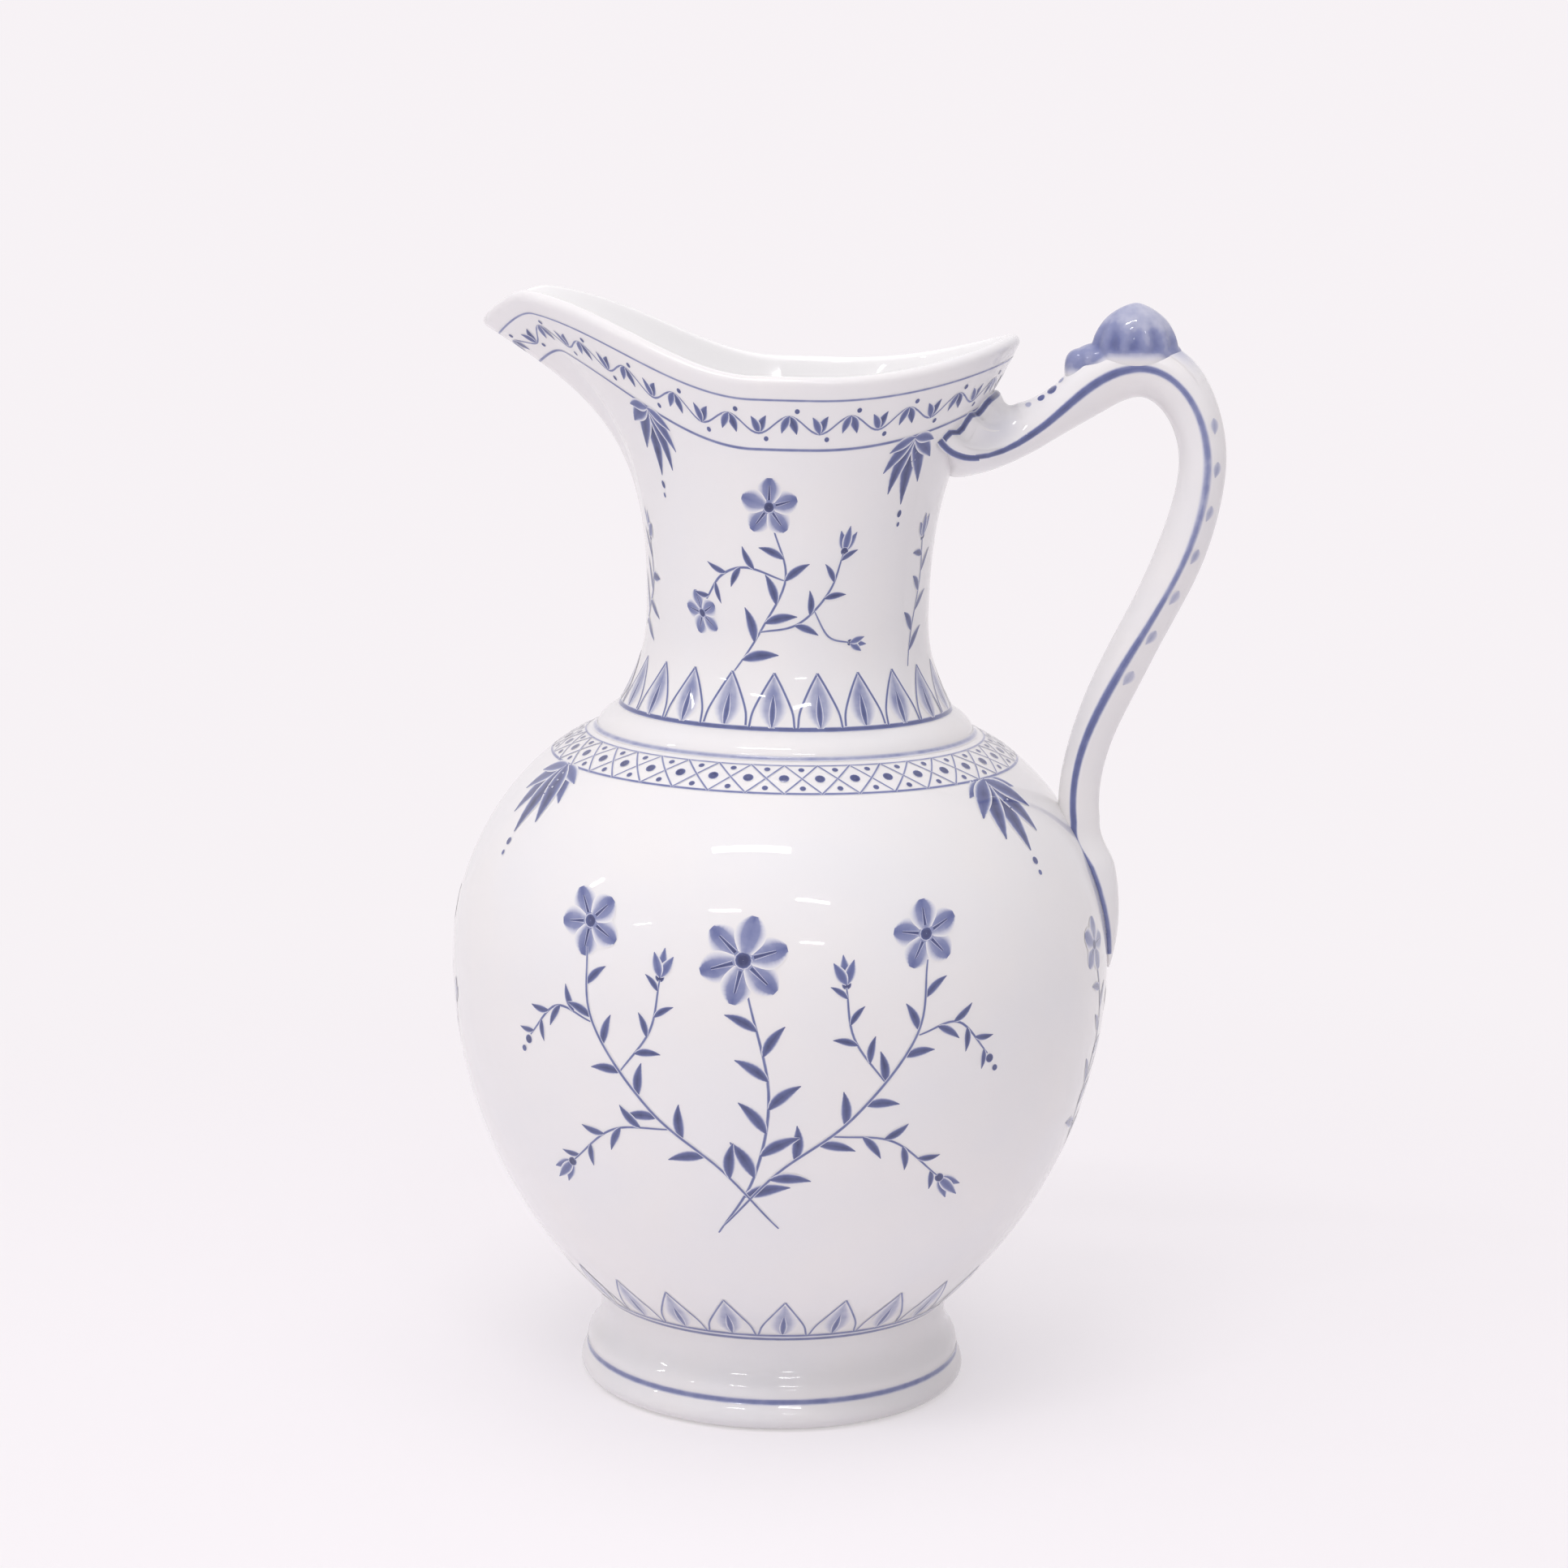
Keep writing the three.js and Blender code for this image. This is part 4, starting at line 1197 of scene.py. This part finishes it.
def leaf_edge():
    """Directions and heights of the upper leaf's edge, round from the tip on the far side."""
    quarter = HANDLE_SIDES // 4
    sides = []
    for points in (LEAF_TOP, LEAF_UNDER):
        turn, drop = np.array(points).T
        path = curve_path(np.column_stack([np.radians(turn) * LEAF_RADIUS, -drop]), 0.2)
        reach = run_lengths(path)
        at = np.linspace(0, reach[-1], quarter + 1)
        sides.append(np.column_stack([np.interp(at, reach, path[:, k]) for k in (0, 1)]))
    top, under = sides
    near = np.array([-1.0, 1.0])
    edge = np.vstack([top[:-1], top[:0:-1] * near, under[:-1] * near, under[:0:-1]])
    return edge[:, 0] / LEAF_RADIUS, SIZES.rim_z + edge[:, 1] * MM


def leaf_rings(first, ahead):
    """Rings that spread the handle's upper root into a lobed leaf on the neck."""
    spread, height = leaf_edge()
    outlines = neck_outlines(spread, 4, 80)
    seat, out = [], []
    for outline, angle, z in zip(outlines, spread, height):
        normal = -left_normals(outline)
        r = np.interp(z, outline[:, 1], outline[:, 0])
        nr, nz = (np.interp(z, outline[:, 1], normal[:, k]) for k in (0, 1))
        seat.append((AXIS_X + r * math.cos(angle), r * math.sin(angle), z))
        out.append((nr * math.cos(angle), nr * math.sin(angle), nz))
    seat, out = np.array(seat), np.array(out)
    inward = first.mean(axis=0) - seat
    inward -= np.sum(inward * out, axis=1)[:, None] * out
    begin = seat - out * 0.02 * MM
    side, rise = almond(HANDLE_SIDES)
    sag = np.where(rise > 0, 5.6 * np.abs(side) - 2 * rise, 2.2 + 3.4 * np.abs(side))
    lift = seat + out * 2.8 * MM + inward * 0.12
    lift[:, 2] -= sag * MM
    pull = (9 - 5 * np.clip(rise, 0, None)) * MM
    approach = first - np.array([ahead[0], 0.0, ahead[1]]) * pull[:, None]
    approach[:, 2] -= np.abs(side) * 1.5 * MM
    rings = [seat - out * 1.2 * MM]
    for t in np.linspace(0, 1, 21)[:-1]:
        u = 1 - t
        rings.append(u**3 * begin + 3 * u**2 * t * lift + 3 * u * t**2 * approach + t**3 * first)
    rings.append(first)
    return np.array(rings)


def handle_parts():
    """Rings of the upper leaf, of the handle and of its lower tongue."""
    rings, ahead = handle_rings()
    middle = rings[ROOT_RING:]
    return leaf_rings(middle[0], ahead[ROOT_RING]), middle, tongue_rings(middle[-1])


class JUG_OT_handle(bpy.types.Operator):
    """Pulls the handle and lays its upper leaf on the neck and its lower tongue on the belly"""

    bl_idname = "jug.handle"
    bl_label = "Handle"

    def execute(self, context):
        nodes = ("handle_upper_leaf", "handle", "handle_lower_leaf")
        for node, part in zip(nodes, handle_parts()):
            piece = extruded(node + "_glazed", part, closed=False)
            finish_piece(piece, node, white_glaze(), 62.0)
        return {"FINISHED"}


class JUG_OT_thumb_rest(bpy.types.Operator):
    """Models the fluted thumb rest on the arch, with its nub, in a blue wash"""

    bl_idname = "jug.thumb_rest"
    bl_label = "Thumb rest"

    flutes = 12

    # Lumps melted into the dome: name, size, place from the arch and from the brim in mm, fullness
    lumps = (
        ("nub", (8.8, 7.6, 9.0), -11.1, -4.2, 0.75),
        ("saddle", (15.0, 10.0, 8.4), -6.6, -2.4, 1.0),
        ("skirt", (20.8, 13.2, 9.4), 0.2, -0.7, 1.0),
        ("heel", (10.0, 10.2, 7.0), 8.0, -3.3, 1.0),
    )

    def lump(self, name, size, place, segments, fullness=1.0):
        """A rounded lump: a fullness under 1 squares it."""
        bpy.ops.object.select_all(action="DESELECT")
        bpy.ops.mesh.primitive_uv_sphere_add(segments=segments, ring_count=segments // 2, radius=1.0)
        piece = named(name)
        co = places_of(piece)
        set_places(piece, np.sign(co) * np.abs(co) ** fullness)
        bpy.ops.transform.resize(value=[side / 2 for side in size])
        bpy.ops.transform.translate(value=place)
        bpy.ops.object.transform_apply(location=True, rotation=True, scale=True)
        return piece

    def execute(self, context):
        s = SIZES
        line = handle_line()
        top = int(np.argmax(line[:, 1]))
        arch = Vector((AXIS_X + line[top][0], 0, line[top][1]))
        brim = arch.z + s.dome_seat
        arch.x -= 0.9 * MM
        dome = self.lump("thumb_rest_glazed", (s.dome_length, s.dome_width, 2.0), (arch.x, 0, 0), 96)
        co = places_of(dome)
        rise = co[:, 2].copy()
        turn = np.arctan2(co[:, 1] / s.dome_width, (co[:, 0] - arch.x) / s.dome_length)
        spread = np.clip(1 - rise**2, 0, None) ** np.where(rise > 0, 0.68, 0.5)
        groove = 0.55 * MM * (1 - smoothstep(rise, 0.3, 0.7)) * np.cos(self.flutes * turn / 2) ** 2
        co[:, 0] = arch.x + (s.dome_length / 2 - groove) * spread * np.cos(turn)
        co[:, 1] = (s.dome_width / 2 - groove) * spread * np.sin(turn)
        co[:, 2] = brim + rise * np.where(rise > 0, s.dome_height, 3 * MM)
        set_places(dome, co)
        only(dome)
        for name, size, ahead, up, fullness in self.lumps:
            place = (arch.x + ahead * MM, 0, brim + up * MM)
            self.lump(name, mm(*size), place, 48, fullness).select_set(True)
            dome.select_set(True)
            bpy.context.view_layer.objects.active = dome
            bpy.ops.object.join()
        melt = dome.modifiers.new("melt", "REMESH")
        melt.mode, melt.voxel_size = "VOXEL", 0.25 * MM
        bpy.ops.object.modifier_apply(modifier="melt")
        soften = dome.modifiers.new("soften", "SMOOTH")
        soften.factor, soften.iterations = 0.5, 8
        bpy.ops.object.modifier_apply(modifier="soften")
        self.wash(dome, arch, brim)
        finish_piece(dome, "thumb_rest", blue_painting(), 180.0)
        return {"FINISHED"}

    def wash(self, dome, arch, brim):
        """Strokes of deeper blue in the flutes, a blue that pales towards the top and a white underside."""
        s = SIZES
        co = places_of(dome)
        ahead, up = co[:, 0] - arch.x, co[:, 2] - brim
        rise = up / s.dome_height
        turn = np.arctan2(co[:, 1] / s.dome_width, ahead / s.dome_length)
        flute = np.cos(self.flutes * turn / 2) ** 2 * (0.65 + 0.35 * np.sin(3 * turn + 0.6))
        tip = 0.45 + 0.14 * np.sin(5 * turn + 1.0)
        stroke = flute * smoothstep(rise, -0.05, 0.08) * (1 - smoothstep(rise - tip, -0.25, 0.15))
        shade = 0.265 + 0.24 * stroke + 0.09 * (1 - smoothstep(rise, 0.1, 0.7))
        shade += 0.07 * smoothstep(-ahead, -3 * MM, 8 * MM)
        nub = smoothstep(-ahead, 8 * MM, 10.5 * MM)
        shade = blend_between(shade, 0.38, nub)
        low = blend_between(-2.2 * MM, -6.0 * MM, smoothstep(-ahead, 5 * MM, 12 * MM))
        low -= 2.6 * MM * smoothstep(ahead, 5 * MM, 10 * MM)
        shade *= smoothstep(up - low, -0.3 * MM, 2.6 * MM)
        depth = dome.data.attributes.new("depth", "FLOAT", "POINT")
        depth.data.foreach_set("value", shade.astype(np.float32))


# The painting

def neck_table():
    """The neck's outside as a surface by direction and by distance down from the rim's edge."""
    angles = np.linspace(-math.pi, math.pi, 721)[:-1]
    outlines = neck_outlines(angles, 40, 120)
    deep = 78 * MM
    down = np.linspace(0, deep, 157)
    table = []
    for outline in outlines:
        line = outline[::-1]
        reach = run_lengths(line)
        table.append(np.column_stack([np.interp(down, reach, line[:, k]) for k in (0, 1)]))
    flat = np.array(table).transpose(1, 0, 2)
    return Grid(on_axis(flat, angles[None, :]), down, angles)


def neck_level(surface, angle, height):
    """Distance down from the rim's edge at which the neck passes a height."""
    j = int(np.argmin(np.abs(surface.columns - angle)))
    z = surface.table[:, j, 2]
    return float(np.interp(-height, -z, surface.rows))


class JUG_OT_lines(bpy.types.Operator):
    """Paints the plain lines round the foot, the belly and the collar"""

    bl_idname = "jug.lines"
    bl_label = "Lines"

    def execute(self, context):
        foot = Turned(foot_outline())
        brush = Brush()
        at = np.interp(6.8 * MM, foot.outline[:, 1], foot.reach)
        ring_line(brush, foot, at, 0.95 * MM, 0.46)
        brush.piece("foot_line")
        belly = Turned(belly_outline())
        brush = Brush()
        ring_line(brush, belly, 1.9 * MM, 1.7 * MM, 0.16)
        ring_line(brush, belly, 1.0 * MM, 0.85 * MM, 0.62)
        ring_line(brush, belly, 2.8 * MM, 0.72 * MM, 0.56)
        ring_line(brush, Turned(collar_outline()), 1.0 * MM, 0.8 * MM, 0.34)
        brush.piece("belly_lines")
        return {"FINISHED"}


class JUG_OT_rim_border(bpy.types.Operator):
    """Paints a running vine between two lines under the rim, with leaf fans below it"""

    bl_idname = "jug.rim_border"
    bl_label = "Rim border"

    # The vine: waves round the rim and their height in mm
    waves = 22
    swing = 1.9

    # A fan: turn, size, half width and depth of its leaves; drop, radius and depth of its dots
    fan_leaves = (
        (0.0, 15.5, 2.5, 0.95), (0.42, 13.0, 2.2, 0.85), (0.86, 10.2, 1.9, 0.72), (1.25, 7.2, 1.4, 0.62),
    )
    fan_dots = ((17.6, 0.9, 0.8), (20.0, 0.6, 0.65))

    def execute(self, context):
        neck = neck_table()
        brush = Brush()
        hem = Hem(neck, 8.7)
        girth = hem.around[-1]
        for down, half, depth in ((3.2, 0.34, 0.42), (14.2, 0.42, 0.5)):
            x = np.linspace(0, girth, 481)[:-1, None]
            brush.band(Hem(neck, down), x, half * Brush.fade, depth, closed=True)
        pitch = girth / self.waves
        x = np.linspace(0, girth, self.waves * 16 + 1)[:-1, None]
        wave = self.swing * np.sin(2 * math.pi * x / pitch)
        brush.band(hem, x, wave + 0.34 * Brush.fade, 0.5, closed=True)
        for k in range(2 * self.waves):
            sign = -1 if k % 2 else 1
            at = (k + 0.5) * pitch / 2
            crest = (at, sign * self.swing)
            leaf(brush, hem, crest, -sign * 1.15, 4.3, 1.15, 0.86, 0.1)
            leaf(brush, hem, crest, -sign * 2.0, 4.1, 1.05, 0.7, -0.1)
            brush.dot(hem, (at + pitch / 8, sign * 3.1), 0.62, 0.75)
        for bearing in (-140.0, -40.0, 40.0, 140.0):
            at = float(np.interp(math.radians(bearing), hem.turns, hem.around))
            fan(brush, Hem(neck, 14.6), at, self.fan_leaves, self.fan_dots)
        brush.piece("rim_border")
        return {"FINISHED"}


class JUG_OT_neck_sprigs(bpy.types.Operator):
    """Paints the flowering sprigs on the neck and the petal row at its base"""

    bl_idname = "jug.neck_sprigs"
    bl_label = "Neck sprigs"

    board_radius = 33 * MM

    def execute(self, context):
        neck = neck_table()
        brush = Brush()
        for bearing in (-90.0, 90.0):
            self.sprig(brush, self.board(neck, bearing, 190 * MM, 1.0))
        for bearing in (-158.0, 158.0, -24.0, 24.0):
            self.small_sprig(brush, self.board(neck, bearing, 186 * MM, -np.sign(bearing)))
        self.petal_row(brush)
        brush.piece("neck_painting")
        return {"FINISHED"}

    def board(self, neck, bearing, height, mirror):
        """A drawing board on the neck, at a direction in degrees and a height over the ground."""
        angle = math.radians(bearing)
        level = neck_level(neck, angle, height)
        return Patch(neck, angle, level, -1.0, lambda along: self.board_radius, mirror)

    def sprig(self, brush, board):
        """One curved stem with two open flowers, buds and leaves."""
        leafy(brush, board, [(-9, -20), (-3, -10), (2, 1), (-1, 12)], 6, 8.5, 0.1, 0.8)
        blossom(brush, board, (-2, 16.5), 6.4, 0.3)
        leafy(brush, board, [(-3.6, -11), (5, -9), (12, -2), (15, 6)], 5, 6.5, 0.3, 0.95)
        bud(brush, board, (15.2, 6.4), 1.35, 5.6)
        leafy(brush, board, [(1.6, 0.5), (-7, 3), (-13, 0), (-17, -7)], 5, 6.2, 0.3, 0.95)
        blossom(brush, board, (-18, -10.4), 4.6, 0.8)
        stem(brush, board, [(8.5, -6), (12, -12), (17, -14)], 0.3, 0.5)
        bud(brush, board, (17.2, -14), -0.3, 4.4)

    def small_sprig(self, brush, board):
        """A short leafy twig with a bud."""
        leafy(brush, board, [(-4, -14), (-1, -6), (2, 3), (1, 12)], 6, 7, 0.12, 0.86)
        bud(brush, board, (1, 12.6), 1.6, 5.4)

    def petal_row(self, brush):
        """Upright pointed petals above the line where the neck leaves its collar."""
        root = Turned(neck_outlines([math.pi / 2], 60, 60)[0])
        petal = ((0.2, 11.5, 3.4, 0.38), (0.4, 7.5, 0.8, 0.8))
        edge = ((5.0, 0.3), (4.3, 4.0), (2.0, 9.0), (0.0, 12.6))
        pointed_row(brush, root, 22, 0.7 * MM, petal, edge, (0.34, 0.6))
        ring_line(brush, root, 0.7 * MM, 0.65 * MM, 0.72)


class JUG_OT_shoulder_border(bpy.types.Operator):
    """Paints a trellis band on the shoulder, with leaf fans below it"""

    bl_idname = "jug.shoulder_border"
    bl_label = "Shoulder border"

    # The trellis: cells round the shoulder; turn, share of its height, radius and depth of a cell's dots
    cells = 40
    cell_dots = ((0.0, 0.17, 0.75, 0.8), (0.5, 0.5, 1.25, 0.9), (0.0, 0.83, 0.75, 0.8))

    # A fan: turn, size, half width and depth of its leaves; drop, radius and depth of its dots
    fan_leaves = (
        (0.0, 19.0, 3.0, 0.95), (0.4, 16.5, 2.8, 0.9), (0.8, 13.5, 2.4, 0.8), (1.18, 10.0, 1.9, 0.65),
    )
    fan_dots = ((21.4, 1.0, 0.8), (24.2, 0.7, 0.65))

    def execute(self, context):
        belly = Turned(belly_outline())
        brush = Brush()
        top = belly.reach[-1] - 2.6 * MM
        tall = 9.0 * MM
        ring_line(brush, belly, top, 0.34 * MM, 0.42)
        ring_line(brush, belly, top - tall, 0.42 * MM, 0.52)
        pitch = 2 * math.pi / self.cells
        share = np.linspace(0, 1, 13)
        for k in range(self.cells):
            for sign in (-1, 1):
                self.thread(brush, belly, k * pitch + sign * (share - 0.5) * pitch, top - tall * share)
            for turn, down, radius, depth in self.cell_dots:
                board = Patch(belly, (k + turn) * pitch, top - down * tall, 1.0, belly.radius)
                brush.dot(board, (0, 0), radius, depth)
        for bearing in (-150.0, -30.0, 30.0, 150.0):
            board = Patch(belly, math.radians(bearing), top - tall - 0.4 * MM, 1.0, belly.radius)
            fan(brush, board, 0.0, self.fan_leaves, self.fan_dots)
        brush.piece("shoulder_border")
        return {"FINISHED"}

    def thread(self, brush, belly, angle, along):
        """One slanting line of the trellis."""
        radius = belly.radius(along)
        ahead = np.column_stack([np.gradient(angle) * radius, np.gradient(along)])
        ahead /= np.linalg.norm(ahead, axis=1)[:, None]
        half = 0.28 * MM
        x = angle[:, None] + (ahead[:, 1] * half / radius)[:, None] * Brush.fade
        y = along[:, None] - (ahead[:, 0] * half)[:, None] * Brush.fade
        brush.band(belly, x, y, 0.48)


class JUG_OT_belly_sprays(bpy.types.Operator):
    """Paints the flowering sprays on the belly and the leaf row at its base"""

    bl_idname = "jug.belly_sprays"
    bl_label = "Belly sprays"

    def execute(self, context):
        belly = Turned(belly_outline())
        widest = float(np.interp(SIZES.belly_widest, belly.outline[:, 1], belly.reach))
        brush = Brush()
        for bearing in (-90.0, 90.0):
            board = Patch(belly, math.radians(bearing), widest - 6 * MM, 1.0, belly.radius)
            self.bouquet(brush, board)
        for bearing in (-172.0, 172.0, -12.0, 12.0):
            angle, mirror = math.radians(bearing), -np.sign(bearing)
            self.twig(brush, Patch(belly, angle, widest - 14 * MM, 1.0, belly.radius, mirror))
        self.leaf_row(brush, belly)
        brush.piece("belly_painting")
        return {"FINISHED"}

    def bouquet(self, brush, board):
        """Stems that cross low down and arch out to flowers on both sides."""
        leafy(brush, board, [(-7, -44), (1, -28), (4, -8), (-1, 14)], 8, 11, 0.2, 0.86, 0.45)
        blossom(brush, board, (-2, 20.5), 9.6, 0.3, 6)
        for sign in (-1, 1):
            def side(*points):
                return [(sign * x, y) for x, y in points]

            arched = side((-6, -42), (6, -27), (22, -14), (36, 4), (38, 20))
            leafy(brush, board, arched, 9, 9.5, 0.22, 0.9, 0.42)
            blossom(brush, board, (sign * 37.5, 25.5), 7.6, 0.5 * sign)
            leafy(brush, board, side((17, -18), (31, -20), (42, -30)), 5, 7.5, 0.25, 0.92)
            bud(brush, board, (sign * 42.5, -30.6), -0.85 if sign > 0 else math.pi + 0.85, 7.2)
            leafy(brush, board, side((29, -6), (22, 4), (20, 15)), 4, 6.6, 0.25, 0.9)
            bud(brush, board, (sign * 20, 15.6), math.pi / 2 + 0.15 * sign, 6.4)
            leafy(brush, board, side((36.5, 4), (46, 6), (54, -2)), 5, 6.8, 0.25, 0.95)
            brush.dot(board, (sign * 54.6, -3.2), 1.1, 0.9)
            brush.dot(board, (sign * 56.2, -5.6), 0.8, 0.75)

    def twig(self, brush, board):
        """A loose twig for the belly's narrow sides."""
        leafy(brush, board, [(5, -32), (-2, -16), (2, 2), (-4, 18)], 8, 9.5, 0.12, 0.88, 0.4)
        blossom(brush, board, (-5, 22.5), 6.4, 0.1)
        stem(brush, board, [(-0.5, -10), (8, -4), (11, 4)], 0.32, 0.5)
        bud(brush, board, (11, 4.4), 1.2, 6)

    def leaf_row(self, brush, belly):
        """Upright pointed leaves above the double line at the base."""
        strokes = ((0.0, 13.0, 3.2, 0.33), (0.2, 8.5, 0.85, 0.62))
        edge = ((5.3, 0.0), (4.6, 4.4), (2.2, 10.0), (0.0, 14.4))
        pointed_row(brush, belly, 24, 3.2 * MM, strokes, edge, (0.32, 0.5))


class JUG_OT_handle_marks(bpy.types.Operator):
    """Paints the lines on the handle's ridges and the touches down its back"""

    bl_idname = "jug.handle_marks"
    bl_label = "Handle marks"

    def execute(self, context):
        upper, middle, lower = handle_parts()
        table = np.vstack([upper[1:-1], middle, lower[1:]])
        reach = run_lengths(table[:, HANDLE_SIDES // 4])
        surface = Grid(table, reach, np.arange(HANDLE_SIDES) / HANDLE_SIDES)
        brush = Brush()
        for ridge in (0.0, 0.5):
            self.ridge_line(brush, surface, ridge)
            self.leaf_line(brush, surface, ridge)
            self.leaf_tint(brush, surface, ridge)
            self.tip_line(brush, table[:11, int(ridge * HANDLE_SIDES)], -1.0 if ridge else 1.0)
            self.back_touches(brush, surface, 1.0 if ridge else -1.0)
        self.heel_wash(brush, surface)
        brush.piece("handle_painting")
        return {"FINISHED"}

    def ridge_line(self, brush, surface, ridge):
        """A line along one side's ridge, from the root leaf to the tongue."""
        rows = np.arange(surface.rows[9], surface.rows[-1] - 3.5 * MM, 0.9 * MM)
        half = 1.1 * MM * (0.85 + 0.3 * np.sin(rows / (17 * MM)) ** 2)
        x = np.array([self.beside(surface, ridge, row, h * Brush.fade) for row, h in zip(rows, half)])
        depth = 0.52 + 0.14 * np.sin(rows / (23 * MM) + 1.0) + 0.2 * np.exp(-rows / (8 * MM))
        brush.band(surface, x, rows[:, None], depth)

    def beside(self, surface, ridge, row, distance):
        """Columns at given distances round the handle from one ridge."""
        columns = ridge + np.linspace(-0.2, 0.2, 81)
        reach = run_lengths(surface.at(columns, np.full(81, row))[0])
        return np.interp(distance, reach - reach[40], columns)

    def leaf_line(self, brush, surface, ridge):
        """A dark line along the lobed edge of the root leaf, from the rim side round its tip."""
        columns = np.linspace(0.25, ridge, HANDLE_SIDES + 1)
        gap = 0.6 * MM
        first, second = (surface.at(columns, np.full(len(columns), row))[0] for row in (0.0, gap))
        slow = gap / np.linalg.norm(second - first, axis=1)
        brush.band(surface, columns[:, None], slow[:, None] * (1.0 + 0.85 * Brush.fade) * MM, 0.9)

    def leaf_tint(self, brush, surface, ridge):
        """A faint blue patch inside the root leaf, deepest in its middle and fading to its edges."""
        across, down = np.meshgrid(np.linspace(0, 1, 13), np.linspace(0, 1, 13))
        columns = blend_between(0.25, ridge, 0.2 + 0.68 * across)
        depth = 0.08 * np.sin(math.pi * across) * np.sin(math.pi * down)
        brush.grid(surface, columns, (1.4 + 5 * down) * MM, depth)

    def heel_wash(self, brush, surface):
        """Thin blue that runs from the thumb rest down the handle's back."""
        back = surface.table[:, HANDLE_SIDES // 4]
        top = int(np.argmax(back[:, 2]))
        behind = slice(top, top + 20)
        reach = back[behind, 0] - back[top, 0]
        start = np.interp(SIZES.dome_length / 2 - 5.0 * MM, reach, surface.rows[behind])
        across, down = np.meshgrid(np.linspace(0, 1, 25), np.linspace(0, 1, 25))
        depth = 0.33 * np.sin(math.pi * across) ** 0.6 * (1 - smoothstep(down, 0.1, 1.0))
        brush.grid(surface, 0.25 + 0.3 * (across - 0.5), start + 13 * MM * down, depth)

    def tip_line(self, brush, points, side):
        """The turn of the line round the leaf's tip, from the leaf's edge to the ridge."""
        ribbon = Ribbon(even(points, 0.4 * MM), np.array([0.33, 0.94 * side, 0.1]))
        brush.band(ribbon, 0.9 * MM * Brush.fade, ribbon.reach[:, None], 0.76)

    def back_touches(self, brush, surface, side):
        """Short brush touches between one ridge and the handle's back, and four dots near its root."""
        for row in np.arange(65.4 * MM, surface.rows[-1] - 66 * MM, 10.4 * MM):
            board = Flank(surface, row, side)
            leaf(brush, board, (4.4, -0.3), math.pi / 2 - 0.15, 3.8, 1.4, 0.3, 0.05)
        board = Flank(surface, 9.6 * MM, side)
        dots = ((2.3, -0.6, 0.8, 0.3), (2.3, 2.6, 1.0, 0.7), (2.1, 5.6, 1.4, 0.75), (1.4, 8.4, 0.95, 0.4))
        for x, y, size, depth in dots:
            brush.dot(board, (x, y), size, depth)


class JUG_PT_sidebar(bpy.types.Panel):
    """Lists the steps of making the jug"""

    bl_idname = "JUG_PT_sidebar"
    bl_label = "Porcelain jug"
    bl_space_type = "VIEW_3D"
    bl_region_type = "UI"
    bl_category = "Jug"

    def draw(self, context):
        for group in (context.scene.jug_sizes, context.scene.jug_looks):
            column = self.layout.column(align=True)
            for name in group.__annotations__:
                column.prop(group, name)
        for step in STEPS:
            self.layout.operator(step.bl_idname)


STEPS = (
    JUG_OT_stage,
    JUG_OT_foot,
    JUG_OT_belly,
    JUG_OT_collar,
    JUG_OT_neck,
    JUG_OT_handle,
    JUG_OT_thumb_rest,
    JUG_OT_lines,
    JUG_OT_rim_border,
    JUG_OT_neck_sprigs,
    JUG_OT_shoulder_border,
    JUG_OT_belly_sprays,
    JUG_OT_handle_marks,
)
CLASSES = (JugSizes, JugLooks, *STEPS, JUG_PT_sidebar)


def register():
    for cls in CLASSES:
        bpy.utils.register_class(cls)
    bpy.types.Scene.jug_sizes = PointerProperty(type=JugSizes)
    bpy.types.Scene.jug_looks = PointerProperty(type=JugLooks)


def unregister():
    del bpy.types.Scene.jug_looks
    del bpy.types.Scene.jug_sizes
    for cls in reversed(CLASSES):
        bpy.utils.unregister_class(cls)


def main():
    global SIZES, LOOKS
    register()
    SIZES = bpy.context.scene.jug_sizes
    LOOKS = bpy.context.scene.jug_looks
    for step in STEPS:
        group, name = step.bl_idname.split(".")
        getattr(getattr(bpy.ops, group), name)()


if __name__ == "__main__":
    main()
